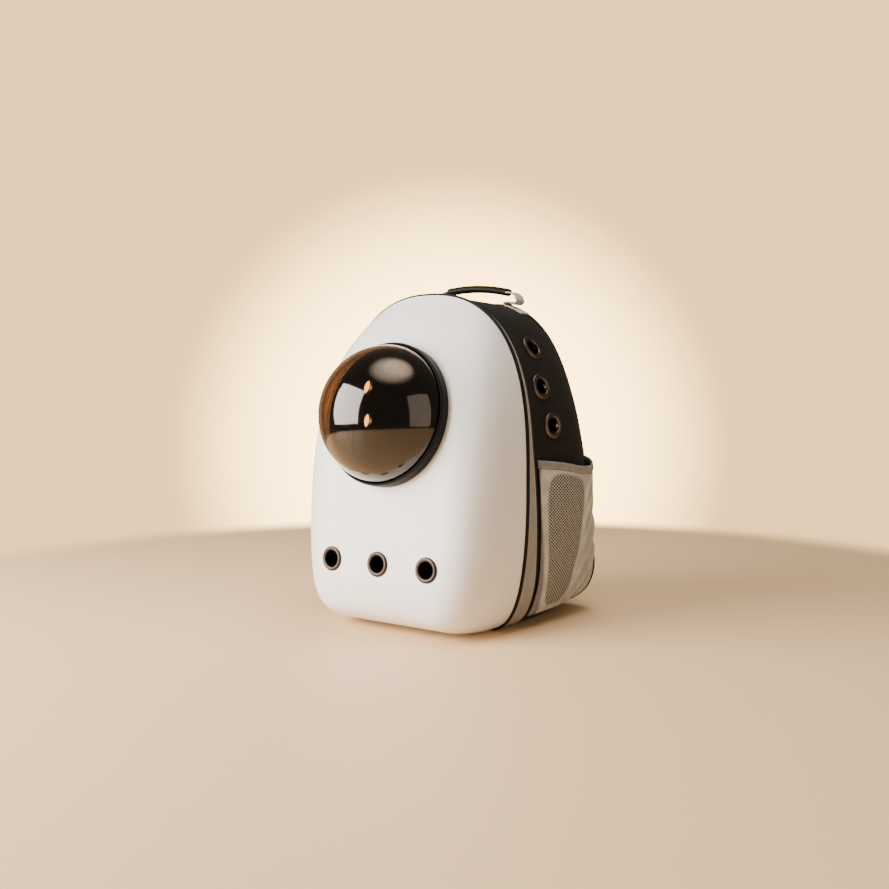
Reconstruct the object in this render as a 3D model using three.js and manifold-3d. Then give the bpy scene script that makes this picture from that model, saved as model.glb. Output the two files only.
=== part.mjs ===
// A bubble pet carrier backpack: a moulded front shell with a round domed window, zipped to a
// soft gusset with mesh side pockets, a padded back with shoulder straps, and a top handle.
// Millimetres, +Z up. The front faces -Y, the wearer's back is at +Y, and +X is to the right
// when the front is looked at. Inside the group all depths are measured from the seam between
// shell and gusset, and the group then moves the seam forward of the origin, which is on the base.
import * as THREE from 'three';
import { mergeVertices } from 'three/addons/utils/BufferGeometryUtils.js';
import Module from 'manifold-3d';

const wasm = await Module();
wasm.setup();

// Overall sizes
const bagHeight = 420;
const bagWidth = 296;
const shellDepth = 110;
const gussetDepth = 200;
const originDepth = 95;

// Fits
const gap = 0.35;
const runningGap = 0.4;
const ringGap = 0.625;
const backGap = 1.2;

// Outline of the bag at the seam, and at the back panel
const seamWidest = 172.6;
const backWidth = 283;
const backWidest = 75.5;
const backFall = 4.5;
const baseSink = 1;
const crownRound = 3.18;
const crownShoulder = 2.3;
const baseRound = 2.06;

// Front shell
const shellWall = 2.5;
const flankFullness = 8.7;
const flankRoll = 2.03;
const baseFullness = 2;
const crownFullness = -2;
const crownRoll = -1.2;

// Domed window and its ring
const windowShare = 0.640476190476;
const windowTilt = 12.5;
const domeWall = 2.5;
const domeSink = 1.6;
const domeSeat = 2.8;
const ringRadius = 89;
const ringFlange = 9;
const ringLipWidth = 2.3;
const ringHeight = 12.8;
const neckWall = 2;
const neckReach = 14;

// Round metal eyelets
const frontEyeletRadius = 15.5;
const sideEyeletRadius = 16.5;
const eyeletBore = 10;
const eyeletBarrelWall = 1.2;
const eyeletHeight = 2.4;
const eyeletTail = 1;
const frontEyeletHeight = 88;
const frontEyeletSpacing = 74;

// Seam trims, back to front: cord piping, pale band, zip
const pipingRadius = 2.8;
const bandWidth = 28;
const zipWidth = 3;
const trimWall = 2.5;
const sliderLength = 22;
const sliderWidth = 9;
const sliderThickness = 4;
const sliderClearance = 14;

// Gusset and back panel
const gussetWall = 2.5;
const sideSwell = 20;
const panelThickness = 8;
const panelRise = 7;

// Side pockets
const pocketWall = 1.6;
const pocketBottom = 16;
const pocketMouth = 216;
const pocketStandoff = 8.5;
const rimHeight = 10;
const rimWall = 3.2;

// Top handle
const handleDepth = 111;
const handleRise = 11.5;
const gripLength = 96;
const gripShift = 3.7;
const gripWidth = 16;
const gripThickness = 10;
const gripRise = 4.3;
const gripDroop = 5.3;
const handleWebWidth = 20;
const webThickness = 2;
const tabLength = 25;
const tabLift = 2.2;
const loopLift = 9;
const loopReach = 2.5;
const foldDrop = 22;
const rightFoldReach = 17;
const leftFoldReach = 10;

// Shoulder straps
const padWidth = 62;
const padThickness = 11;
const strapWebWidth = 25;
const strapStandoff = 36;
const adjusterWidth = 36;
const adjusterHeight = 22;
const adjusterThickness = 4;
const adjusterBar = 3.5;

// Mesh fineness
const loopSteps = 48;
const windowSteps = 32;
const eyeletSteps = 12;

// Tables: every height and depth is a share of the named size that it follows
const shellDepths = [
  { height: 0.0, depth: 1.013 },
  { height: 0.14, depth: 0.966 },
  { height: 0.29, depth: 0.911 },
  { height: 0.48, depth: 0.835 },
  { height: 0.64, depth: 0.738 },
  { height: 0.79, depth: 0.638 },
  { height: 0.9, depth: 0.546 },
  { height: 1.0, depth: 0.415 },
];
const gussetDepths = [
  { height: 0.0, depth: 1.0 },
  { height: 0.25, depth: 0.885 },
  { height: 0.5, depth: 0.795 },
  { height: 0.75, depth: 0.73 },
  { height: 1.0, depth: 0.725 },
];
const swellRun = [
  { share: 0.0, swell: 0.0 },
  { share: 0.12, swell: 0.1 },
  { share: 0.35, swell: 0.55 },
  { share: 0.6, swell: 0.95 },
  { share: 0.7, swell: 1.0 },
  { share: 0.85, swell: 0.75 },
  { share: 1.0, swell: 0.0 },
];
const swellRise = [
  { height: 0.0, swell: 0.0 },
  { height: 0.1, swell: 0.1 },
  { height: 0.3, swell: 0.5 },
  { height: 0.5, swell: 0.9 },
  { height: 0.7, swell: 1.0 },
  { height: 1.0, swell: 1.0 },
];
const cornerRun = [
  { share: 0.0, corner: 7.95 },
  { share: 0.1, corner: 9.2 },
  { share: 0.45, corner: 9.0 },
  { share: 0.7, corner: 7.0 },
  { share: 0.87, corner: 4.5 },
  { share: 1.0, corner: 3.6 },
];
const bandWidths = [
  { height: 0.0, width: 1.0 },
  { height: 0.16, width: 0.96 },
  { height: 0.255, width: 0.79 },
  { height: 0.32, width: 0.7 },
  { height: 0.43, width: 0.56 },
  { height: 0.5, width: 0.43 },
  { height: 0.56, width: 0.32 },
  { height: 0.8, width: 0.23 },
  { height: 1.0, width: 0.21 },
];
const pocketBulge = [
  { along: 0.0, standoff: 0.0 },
  { along: 0.08, standoff: 0.22 },
  { along: 0.3, standoff: 0.55 },
  { along: 0.6, standoff: 0.85 },
  { along: 0.85, standoff: 1.0 },
  { along: 0.95, standoff: 0.82 },
  { along: 1.0, standoff: 0.0 },
];
const pocketFill = [
  { rise: 0.0, standoff: 0.0 },
  { rise: 0.08, standoff: 0.18 },
  { rise: 0.35, standoff: 0.45 },
  { rise: 0.7, standoff: 0.75 },
  { rise: 1.0, standoff: 1.0 },
];
const mouthLine = [
  { along: 0.0, height: 0.99 },
  { along: 0.3, height: 0.97 },
  { along: 0.7, height: 0.935 },
  { along: 0.9, height: 0.945 },
  { along: 1.0, height: 0.985 },
];
const sideEyelets = [
  { height: 0.8395, depth: 0.37 },
  { height: 0.724, depth: 0.3 },
  { height: 0.6087, depth: 0.365 },
];
const handleFolds = [
  { side: 'right', way: 1, reach: rightFoldReach },
  { side: 'left', way: -1, reach: leftFoldReach },
];
const strapRun = [
  { height: 0.905, across: 0.22, standoff: 0.0 },
  { height: 0.87, across: 0.25, standoff: 0.22 },
  { height: 0.8, across: 0.31, standoff: 0.62 },
  { height: 0.68, across: 0.4, standoff: 0.95 },
  { height: 0.56, across: 0.49, standoff: 1.0 },
  { height: 0.44, across: 0.57, standoff: 0.88 },
];
const strapTail = [
  { height: 0.425, across: 0.58, standoff: 0.99 },
  { height: 0.3, across: 0.66, standoff: 0.7 },
  { height: 0.19, across: 0.73, standoff: 0.32 },
  { height: 0.115, across: 0.775, standoff: 0.04 },
  { height: 0.085, across: 0.79, standoff: 0.02 },
];

const colours = {
  shell: { color: 0xe6e3dd, roughness: 0.18, metalness: 0 },
  dome: { color: 0x6b4a2a, roughness: 0.05, metalness: 0, transparent: true, opacity: 0.45 },
  blackPlastic: { color: 0x1d1b19, roughness: 0.35, metalness: 0 },
  eyelet: { color: 0x6a5f57, roughness: 0.3, metalness: 1 },
  blackCloth: { color: 0x26221f, roughness: 0.9, metalness: 0 },
  paleCloth: { color: 0xb9b2a6, roughness: 0.85, metalness: 0 },
  meshCloth: { color: 0x968a7c, roughness: 0.9, metalness: 0 },
};

// Smooth reading of a table between its rows
function readTable(rows, key, value, at) {
  const last = rows.length - 1;
  const clamped = Math.min(Math.max(at, rows[0][key]), rows[last][key]);
  let row = 0;
  while (row < last - 1 && clamped > rows[row + 1][key]) row += 1;
  const slope = (a, b) => (rows[b][value] - rows[a][value]) / (rows[b][key] - rows[a][key]);
  const slopeAt = (i) => {
    if (i === 0) return slope(0, 1);
    if (i === last) return slope(last - 1, last);
    const before = slope(i - 1, i);
    const after = slope(i, i + 1);
    return before * after <= 0 ? 0 : (before + after) / 2;
  };
  const step = rows[row + 1][key] - rows[row][key];
  const t = (clamped - rows[row][key]) / step;
  const [t2, t3] = [t * t, t * t * t];
  return (2 * t3 - 3 * t2 + 1) * rows[row][value]
    + (t3 - 2 * t2 + t) * step * slopeAt(row)
    + (3 * t2 - 2 * t3) * rows[row + 1][value]
    + (t3 - t2) * step * slopeAt(row + 1);
}

// Builds one closed mesh from loops of points. The ends are joined to each other, close in a
// point, or are filled by a fan or, for a thin folded section, by a strip
function closedSkin(loops, ends) {
  const count = loops[0].length;
  const vertices = loops.flat().flatMap((p) => [p.x, p.y, p.z]);
  const faces = [];
  const at = (row, column) => row * count + ((column + count) % count);
  const rows = ends === 'joined' ? loops.length : loops.length - 1;
  for (let row = 0; row < rows; row += 1) {
    const next = (row + 1) % loops.length;
    for (let k = 0; k < count; k += 1) {
      faces.push([at(row, k), at(row, k + 1), at(next, k + 1)]);
      faces.push([at(row, k), at(next, k + 1), at(next, k)]);
    }
  }
  const cap = (row, flip) => {
    const add = (a, b, c) => faces.push(flip ? [a, c, b] : [a, b, c]);
    if (ends === 'fan') {
      const middle = new THREE.Vector3();
      loops[row].forEach((p) => middle.addScaledVector(p, 1 / count));
      const hub = vertices.length / 3;
      vertices.push(middle.x, middle.y, middle.z);
      for (let k = 0; k < count; k += 1) add(at(row, k + 1), at(row, k), hub);
    }
    if (ends === 'strip') {
      for (let k = 0; k < count / 2 - 1; k += 1) {
        add(at(row, k), at(row, count - 1 - k), at(row, k + 1));
        add(at(row, k + 1), at(row, count - 1 - k), at(row, count - 2 - k));
      }
    }
  };
  if (ends === 'fan' || ends === 'strip') {
    cap(0, false);
    cap(loops.length - 1, true);
  }
  const geometry = new THREE.BufferGeometry();
  geometry.setAttribute('position', new THREE.Float32BufferAttribute(vertices, 3));
  geometry.setIndex(faces.flat());
  return facingOut(geometry);
}

// Merges shared vertices, drops the triangles that closed up, and turns the faces outward
function facingOut(open) {
  const geometry = mergeVertices(open, 1e-4);
  const index = Array.from(geometry.index.array);
  const kept = [];
  for (let i = 0; i < index.length; i += 3) {
    const [a, b, c] = index.slice(i, i + 3);
    if (a !== b && b !== c && c !== a) kept.push(a, b, c);
  }
  geometry.setIndex(kept);
  return enclosedVolume(geometry) < 0 ? turnedInsideOut(geometry) : geometry;
}

function enclosedVolume(geometry) {
  const position = geometry.attributes.position;
  const [a, b, c] = [new THREE.Vector3(), new THREE.Vector3(), new THREE.Vector3()];
  let volume = 0;
  for (let i = 0; i < geometry.index.count; i += 3) {
    a.fromBufferAttribute(position, geometry.index.getX(i));
    b.fromBufferAttribute(position, geometry.index.getX(i + 1));
    c.fromBufferAttribute(position, geometry.index.getX(i + 2));
    volume += a.dot(b.cross(c)) / 6;
  }
  return volume;
}

function turnedInsideOut(geometry) {
  const index = Array.from(geometry.index.array);
  for (let i = 0; i < index.length; i += 3) [index[i], index[i + 1]] = [index[i + 1], index[i]];
  geometry.setIndex(index);
  return geometry;
}

// Passing a mesh to the boolean library and back
function solidFrom(geometry) {
  const bare = geometry.clone();
  bare.deleteAttribute('normal');
  bare.deleteAttribute('uv');
  const merged = mergeVertices(bare, 1e-4);
  return new wasm.Manifold(new wasm.Mesh({
    numProp: 3,
    vertProperties: new Float32Array(merged.attributes.position.array),
    triVerts: new Uint32Array(merged.index.array),
  }));
}

function geometryFrom(solid) {
  const mesh = solid.getMesh();
  const geometry = new THREE.BufferGeometry();
  geometry.setAttribute('position', new THREE.BufferAttribute(mesh.vertProperties, 3));
  geometry.setIndex(new THREE.BufferAttribute(mesh.triVerts, 1));
  return geometry;
}

function meshOf(name, geometry, colour) {
  const shown = geometry.clone();
  shown.computeVertexNormals();
  const mesh = new THREE.Mesh(shown, new THREE.MeshStandardMaterial(colours[colour]));
  mesh.name = name;
  return mesh;
}

// A body turned from a profile of [radius, height] pairs about its own +Z
function turned(profile, steps) {
  const geometry = new THREE.LatheGeometry(profile.map(([r, h]) => new THREE.Vector2(r, h)), steps);
  geometry.rotateX(Math.PI / 2);
  geometry.deleteAttribute('normal');
  geometry.deleteAttribute('uv');
  return facingOut(geometry);
}

// A seat on a surface: its own +Z points outward there
function seatAt(point, outward) {
  const seat = new THREE.Group();
  seat.position.copy(point);
  seat.quaternion.setFromUnitVectors(new THREE.Vector3(0, 0, 1), outward);
  seat.updateMatrix();
  return seat;
}

const mirrorX = (v) => new THREE.Vector3(-v.x, v.y, v.z);

// The outline of the bag: a rounded arch on a flat base with rounded corners
const backHeight = bagHeight - backFall;
const cornerAt = (share) => readTable(cornerRun, 'share', 'corner', share);
const seamSection = {
  half: bagWidth / 2, widest: seamWidest, top: bagHeight, corner: cornerAt(0),
};
const backSection = {
  half: backWidth / 2, widest: backWidest, top: backHeight, corner: cornerAt(1),
};

// Between seam and back the padded sides swell outwards, most behind the middle and high up
function sectionAt(depth, z) {
  const share = depth / backDepth(z);
  const section = {};
  for (const key of Object.keys(seamSection)) {
    section[key] = THREE.MathUtils.lerp(seamSection[key], backSection[key], share);
  }
  section.corner = cornerAt(share);
  section.half += sideSwell * readTable(swellRun, 'share', 'swell', share)
    * readTable(swellRise, 'height', 'swell', z / bagHeight);
  return section;
}

function outlinePoint(section, angle, inset = 0, floor = inset) {
  const [c, s] = [Math.cos(angle), Math.sin(angle)];
  const above = s >= 0;
  const [across, upright] = above ? [crownShoulder, crownRound] : [section.corner, baseRound];
  const reach = above ? section.top - section.widest : section.widest + baseSink;
  const x = Math.sign(c) * (section.half - inset) * Math.abs(c) ** (2 / across);
  const z = section.widest + Math.sign(s) * (reach - inset) * Math.abs(s) ** (2 / upright);
  return new THREE.Vector2(Math.abs(x) < 1e-9 ? 0 : x, Math.max(z, floor));
}

const angleOf = (step) => (step / loopSteps) * 2 * Math.PI;
const loopAngles = Array.from({ length: loopSteps }, (_, step) => angleOf(step));
const backDepth = (z) => gussetDepth * readTable(gussetDepths, 'height', 'depth', z / bagHeight);

// A point of the soft body's skin: how far back it lies, and where round the outline
function bodyPoint(angle, depth, inset = 0) {
  let outline = outlinePoint(seamSection, angle);
  for (let settle = 0; settle < 4; settle += 1) {
    outline = outlinePoint(sectionAt(depth, outline.y), angle);
  }
  const place = outlinePoint(sectionAt(depth, outline.y), angle, inset);
  return new THREE.Vector3(place.x, depth, place.y);
}

// The same skin read by height and depth, on the right side
function sidePoint(z, depth) {
  const section = sectionAt(depth, z);
  const above = z >= section.widest;
  const [across, upright] = above ? [crownShoulder, crownRound] : [section.corner, baseRound];
  const reach = above ? section.top - section.widest : section.widest + baseSink;
  const rise = Math.min(Math.abs(z - section.widest) / reach, 1);
  return new THREE.Vector3(section.half * (1 - rise ** upright) ** (1 / across), depth, z);
}

function sideNormal(z, depth) {
  const step = 1;
  const upward = sidePoint(z + step, depth).sub(sidePoint(z - step, depth));
  const backward = sidePoint(z, depth + step).sub(sidePoint(z, depth - step));
  return backward.cross(upward).normalize();
}

// The top of the skin at a distance to the side
function topHeight(x, depth) {
  const section = sectionAt(depth, backHeight);
  const share = Math.min(Math.abs(x) / section.half, 1);
  return section.widest + (section.top - section.widest)
    * (1 - share ** crownShoulder) ** (1 / crownRound);
}

// Depth of the moulded shell at a height, a share of the way out, and a lean of 0 at the widest
// level to 1 at the top or bottom: the flanks roll over fuller or softer by their lean
function shellDepthAt(z, share, above, lean, inset = 0) {
  const fullness = flankFullness + (above ? crownFullness : baseFullness) * lean;
  const roll = flankRoll + (above ? crownRoll * lean : 0);
  const crown = shellDepth * readTable(shellDepths, 'height', 'depth', z / bagHeight) - inset;
  return Math.max(crown, 0) * Math.max(1 - share ** fullness, 0) ** (1 / roll);
}

function shellPoint(angle, share, inset = 0) {
  const rim = outlinePoint(seamSection, angle, inset);
  const z = THREE.MathUtils.lerp(seamWidest, rim.y, share);
  const above = Math.sin(angle) >= 0;
  const lean = Math.abs(Math.sin(angle)) ** (4 / (above ? crownRound : baseRound));
  return new THREE.Vector3(rim.x * share, -shellDepthAt(z, share, above, lean, inset), z);
}

// How far out a place lies, as a share of the way from the widest level to the outline
function shareOut(section, x, z, inset = 0) {
  const above = z >= section.widest;
  const [across, upright] = above ? [crownShoulder, crownRound] : [section.corner, baseRound];
  const reach = (above ? section.top - section.widest : section.widest + baseSink) - inset;
  const gauge = (share) => (Math.abs(x) / ((section.half - inset) * share)) ** across
    + (Math.abs(z - section.widest) / (reach * share)) ** upright;
  let [near, far] = [1e-4, 1];
  while (far - near > 1e-7) {
    const middle = (near + far) / 2;
    if (gauge(middle) > 1) near = middle;
    else far = middle;
  }
  const rise = Math.min(Math.abs(z - section.widest) / (reach * far), 1);
  return { share: far, above, rise };
}

function shellFrontAt(x, z) {
  const { share, above, rise } = shareOut(seamSection, x, z);
  return new THREE.Vector3(x, -shellDepthAt(z, share, above, rise ** 2), z);
}

function shellNormal(x, z) {
  const step = 1;
  const upward = shellFrontAt(x, z + step).sub(shellFrontAt(x, z - step));
  const sideways = shellFrontAt(x + step, z).sub(shellFrontAt(x - step, z));
  return sideways.cross(upward).normalize();
}

function shellBlock(rings, inset, backPlane) {
  const loops = [];
  for (let ring = 0; ring <= rings; ring += 1) {
    const turn = (ring / rings) * (Math.PI / 2);
    const share = Math.sin(turn) ** (2 / flankFullness);
    loops.push(loopAngles.map((angle) => shellPoint(angle, ring === 0 ? 0 : share, inset)));
  }
  for (const loop of loops) {
    for (const point of loop) point.y = Math.min(point.y, backPlane);
  }
  const rim = loops[loops.length - 1];
  loops.push(rim.map((point) => new THREE.Vector3(point.x, backPlane + shellWall, point.z)));
  loops.push(rim.map(() => new THREE.Vector3(0, backPlane + shellWall, seamWidest)));
  return solidFrom(closedSkin(loops, 'point'));
}

const shellRim = 0;
const pipingDepth = pipingRadius + gap;

function behindPlane(depth) {
  const keep = new THREE.BoxGeometry(2 * bagWidth, bagWidth, 3 * bagHeight);
  keep.translate(0, depth + bagWidth / 2, 0);
  return solidFrom(keep);
}

// The window unit's own frame: +Z points out of the shell
const windowHeight = windowShare * bagHeight;
const windowSeat = seatAt(
  shellFrontAt(0, windowHeight),
  new THREE.Vector3(0, -1, 0).applyAxisAngle(
    new THREE.Vector3(1, 0, 0), -THREE.MathUtils.degToRad(windowTilt),
  ),
);

// Height of a surface over the plane of a seat, where the seat's own x and y are u and v
function heightOver(seat, surfaceAt, u, v) {
  const flat = new THREE.Vector3(u, v, 0).applyMatrix4(seat.matrix);
  const outward = new THREE.Vector3(0, 0, 1).applyQuaternion(seat.quaternion);
  return surfaceAt(flat).sub(flat).dot(outward);
}

// Moves the vertices that a test picks so that they follow the surface under the seat
function following(geometry, seat, surfaceAt, picks) {
  const position = geometry.attributes.position;
  for (let i = 0; i < position.count; i += 1) {
    const [u, v, h] = [position.getX(i), position.getY(i), position.getZ(i)];
    if (picks(h)) position.setZ(i, h + heightOver(seat, surfaceAt, u, v));
  }
  return geometry;
}

const onShell = (p) => shellFrontAt(p.x, p.z);
const onSide = (p) => (p.x < 0 ? mirrorX(sidePoint(p.z, p.y)) : sidePoint(p.z, p.y));

// Metal eyelet: a rounded flange pressed onto the wall, with a barrel through the hole
function eyelet(radius, throughWall, seat, surfaceAt) {
  const outer = eyeletBore + eyeletBarrelWall;
  const tail = -(throughWall + eyeletTail);
  const profile = [
    [eyeletBore, tail], [outer, tail], [outer, gap], [radius, gap], [radius, eyeletHeight * 0.5],
    [(radius + outer) / 2, eyeletHeight], [eyeletBore, eyeletHeight * 0.5], [eyeletBore, tail],
  ];
  return following(turned(profile, eyeletSteps), seat, surfaceAt, () => true);
}

function boreCutter(radius, reach, steps) {
  const cutter = new THREE.CylinderGeometry(radius, radius, 2 * reach, steps);
  cutter.rotateX(Math.PI / 2);
  return cutter;
}

function placed(mesh, seat) {
  mesh.position.copy(seat.position);
  mesh.quaternion.copy(seat.quaternion);
  return mesh;
}

function cutThrough(body, cutters) {
  return cutters.reduce((left, cutter) => left.subtract(solidFrom(cutter)), body);
}

const frontEyeletSeats = [-1, 0, 1].map((side) => seatAt(
  shellFrontAt(side * frontEyeletSpacing, frontEyeletHeight),
  shellNormal(side * frontEyeletSpacing, frontEyeletHeight),
));
const sideEyeletSeats = sideEyelets.flatMap(({ height, depth }) => {
  const z = height * bagHeight;
  const y = depth * backDepth(z);
  const [point, normal] = [sidePoint(z, y), sideNormal(z, y)];
  return [
    { side: 'right', seat: seatAt(point, normal) },
    { side: 'left', seat: seatAt(mirrorX(point), mirrorX(normal)) },
  ];
});

function frontShell() {
  const hollow = shellBlock(8, 0, shellRim)
    .subtract(shellBlock(6, shellWall, shellRim + gap))
    .subtract(behindPlane(shellRim));
  const windowHole = boreCutter(neckRadius + runningGap, neckReach * 2, windowSteps);
  const bore = boreCutter(eyeletBore + eyeletBarrelWall + gap, shellWall * 4, eyeletSteps);
  const holes = [windowHole.applyMatrix4(windowSeat.matrix)];
  for (const seat of frontEyeletSeats) holes.push(bore.clone().applyMatrix4(seat.matrix));
  return geometryFrom(cutThrough(hollow, holes));
}

// The dome is a cap of a sphere whose middle lies a little behind the shell's surface. It and
// the neck keep their places inside the ring.
const domeRadius = ringRadius - ringLipWidth;
const neckRadius = ringRadius - ringFlange;
const domeRadiusAt = (height, radius) => Math.sqrt(radius ** 2 - (height + domeSink) ** 2);

// Window ring: a rounded bezel on the shell, a shoulder for the dome, a neck through the hole
function windowRing() {
  const inner = neckRadius - neckWall;
  const shoulder = domeSeat - gap;
  const bore = (height) => domeRadiusAt(height, domeRadius) + gap;
  const profile = [
    [inner, -neckReach], [neckRadius, -neckReach], [neckRadius, ringGap], [ringRadius, ringGap],
    [ringRadius, ringHeight * 0.6], [ringRadius - 0.7, ringHeight * 0.9],
    [ringRadius - 1.8, ringHeight], [bore(ringHeight), ringHeight],
    [bore(ringHeight * 0.55), ringHeight * 0.55], [bore(shoulder), shoulder],
    [inner, shoulder], [inner, -neckReach],
  ];
  return following(turned(profile, windowSteps), windowSeat, onShell, (h) => h === ringGap);
}

function bubbleWindow() {
  const arcs = 7;
  const inner = domeRadius - domeWall;
  const arc = (radius) => Array.from({ length: arcs + 1 }, (_, i) => {
    const turn = (i / arcs) * Math.acos((domeSeat + domeSink) / radius);
    return [radius * Math.sin(turn), radius * Math.cos(turn) - domeSink];
  });
  return turned(arc(domeRadius).concat(arc(inner).reverse()), windowSteps);
}

// Cord piping round an outline: a closed tube that never dips below the base
function pipingLoop(section, depthAt) {
  const sides = 6;
  const centres = loopAngles.map((angle) => {
    const place = outlinePoint(section, angle);
    const z = Math.max(place.y, pipingRadius);
    return new THREE.Vector3(place.x, depthAt(z), z);
  });
  const loops = centres.map((centre, step) => {
    const before = centres[(step + loopSteps - 1) % loopSteps];
    const after = centres[(step + 1) % loopSteps];
    const along = after.clone().sub(before).normalize();
    const outward = new THREE.Vector3(0, -1, 0).cross(along).normalize();
    const rearward = along.clone().cross(outward).normalize();
    return Array.from({ length: sides }, (_, side) => {
      const turn = ((side + 0.5) / sides) * 2 * Math.PI;
      return centre.clone()
        .addScaledVector(outward, pipingRadius * Math.cos(turn))
        .addScaledVector(rearward, pipingRadius * Math.sin(turn));
    });
  });
  for (const loop of loops) for (const point of loop) point.z = Math.max(point.z, 0);
  return closedSkin(loops, 'joined');
}

// The stack of trims behind the piping, each with its own stretch of depth
const stackStart = pipingDepth + pipingRadius + gap;
const bandEnd = (z) => stackStart + bandWidth * readTable(bandWidths, 'height', 'width', z / bagHeight);
const zipStart = (z) => bandEnd(z) + gap;
const zipEnd = (z) => zipStart(z) + zipWidth;
const gussetStart = (z) => zipEnd(z) + gap;
const gussetEnd = (z) => backDepth(z) - pipingRadius - backGap;

function wallLoop(from, to, wall, courses) {
  const loops = loopAngles.map((angle) => {
    const height = outlinePoint(seamSection, angle).y;
    const backHeightHere = outlinePoint(backSection, angle).y;
    const start = from(height);
    const end = to(to === gussetEnd ? backHeightHere : height);
    const depths = Array.from({ length: courses + 1 }, (_, i) => start + (end - start) * (i / courses));
    const outer = depths.map((depth) => bodyPoint(angle, depth));
    const inner = depths.reverse().map((depth) => bodyPoint(angle, depth, wall));
    return outer.concat(inner);
  });
  return closedSkin(loops, 'joined');
}

const gussetPlain = wallLoop(gussetStart, gussetEnd, gussetWall, 6);

function gussetPanel() {
  const bore = boreCutter(eyeletBore + eyeletBarrelWall + gap, gussetWall * 4, eyeletSteps);
  const holes = sideEyeletSeats.map(({ seat }) => bore.clone().applyMatrix4(seat.matrix));
  return geometryFrom(cutThrough(solidFrom(gussetPlain), holes));
}

// Back panel: a padded plate inside the back piping, crowned towards the wearer
const panelInset = pipingRadius + 2 * gap;
const panelSwell = (share) => panelThickness / 2 + panelRise * (1 - share ** 2.5);
const panelRear = (x, z) => backDepth(z) + panelSwell(shareOut(backSection, x, z, panelInset).share);

function backPanel() {
  const floor = 2 * pipingRadius + 2 * gap;
  const rings = [0, 0.45, 0.8, 1];
  const loop = (share, offset) => loopAngles.map((angle) => {
    const rim = outlinePoint(backSection, angle, panelInset, floor);
    const x = rim.x * share;
    const z = THREE.MathUtils.lerp(backWidest, rim.y, share);
    return new THREE.Vector3(x, backDepth(z) + offset, z);
  });
  const rear = rings.map((share) => loop(share, panelSwell(share)));
  const front = rings.map((share) => loop(share, -panelThickness / 2)).reverse();
  return closedSkin(rear.concat(front), 'point');
}

// Side pockets: a wall that stands off the gusset, open at the top, with a bound rim
function pocketPoint(along, z, rise, lift) {
  const front = gussetStart(z) + 1;
  const depth = THREE.MathUtils.lerp(front, backDepth(z) - pipingRadius - 1, along);
  const bulge = readTable(pocketBulge, 'along', 'standoff', along)
    * readTable(pocketFill, 'rise', 'standoff', rise);
  return sidePoint(z, depth).addScaledVector(
    sideNormal(z, depth), gap + 0.3 + pocketStandoff * bulge + lift,
  );
}

const mouthHeight = (along) => pocketMouth * readTable(mouthLine, 'along', 'height', along);

function pocketSheet(bottomOf, topOf, wall, inward, courses) {
  const stations = [0, 0.06, 0.18, 0.34, 0.52, 0.68, 0.8, 0.9, 0.96, 1];
  const loops = [];
  for (const course of courses) {
    const point = (along, lift) => {
      const z = THREE.MathUtils.lerp(bottomOf(along), topOf(along), course);
      const rise = (z - pocketBottom) / (mouthHeight(along) - pocketBottom);
      return pocketPoint(along, z, rise, lift);
    };
    const outer = stations.map((along) => point(along, wall - inward));
    const inner = [...stations].reverse().map((along) => point(along, -inward));
    loops.push(outer.concat(inner));
  }
  return closedSkin(loops, 'strip');
}

const rimBottom = (along) => mouthHeight(along) - rimHeight;

// Straps and handle: a flat or oval section carried along a line of points
function ribbon(points, width, thickness, widthwise, corners) {
  const curve = new THREE.CatmullRomCurve3(points, false, 'centripetal');
  const steps = 2 * (points.length - 1);
  const loops = [];
  for (let i = 0; i <= steps; i += 1) {
    const centre = curve.getPoint(i / steps);
    const along = curve.getTangent(i / steps);
    const across = widthwise.clone().addScaledVector(along, -along.dot(widthwise)).normalize();
    const proud = across.clone().cross(along);
    loops.push(corners.map(([u, v]) => centre.clone()
      .addScaledVector(across, (u * width) / 2)
      .addScaledVector(proud, (v * thickness) / 2)));
  }
  return closedSkin(loops, 'fan');
}

const flatSection = [[1, 1], [-1, 1], [-1, -1], [1, -1]];
const paddedSection = [
  [1, 0.3], [0.86, 1], [-0.86, 1], [-1, 0.3], [-1, -0.3], [-0.86, -1], [0.86, -1], [1, -0.3],
];
const ovalSection = Array.from({ length: 8 }, (_, i) => {
  const turn = ((i + 0.5) / 8) * 2 * Math.PI;
  return [Math.cos(turn), Math.sin(turn)];
});

const gripHeight = (x) => bagHeight + handleRise + gripRise * (1 - (2 * x / gripLength) ** 2)
  - gripDroop * (x / gripLength);

function handleGrip() {
  const stations = [-0.5, -0.3, 0, 0.3, 0.5];
  const points = stations.map((share) => {
    const x = share * gripLength;
    return new THREE.Vector3(x + gripShift, handleDepth, gripHeight(x));
  });
  return ribbon(points, gripWidth, gripThickness, new THREE.Vector3(0, 1, 0), ovalSection);
}

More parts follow.
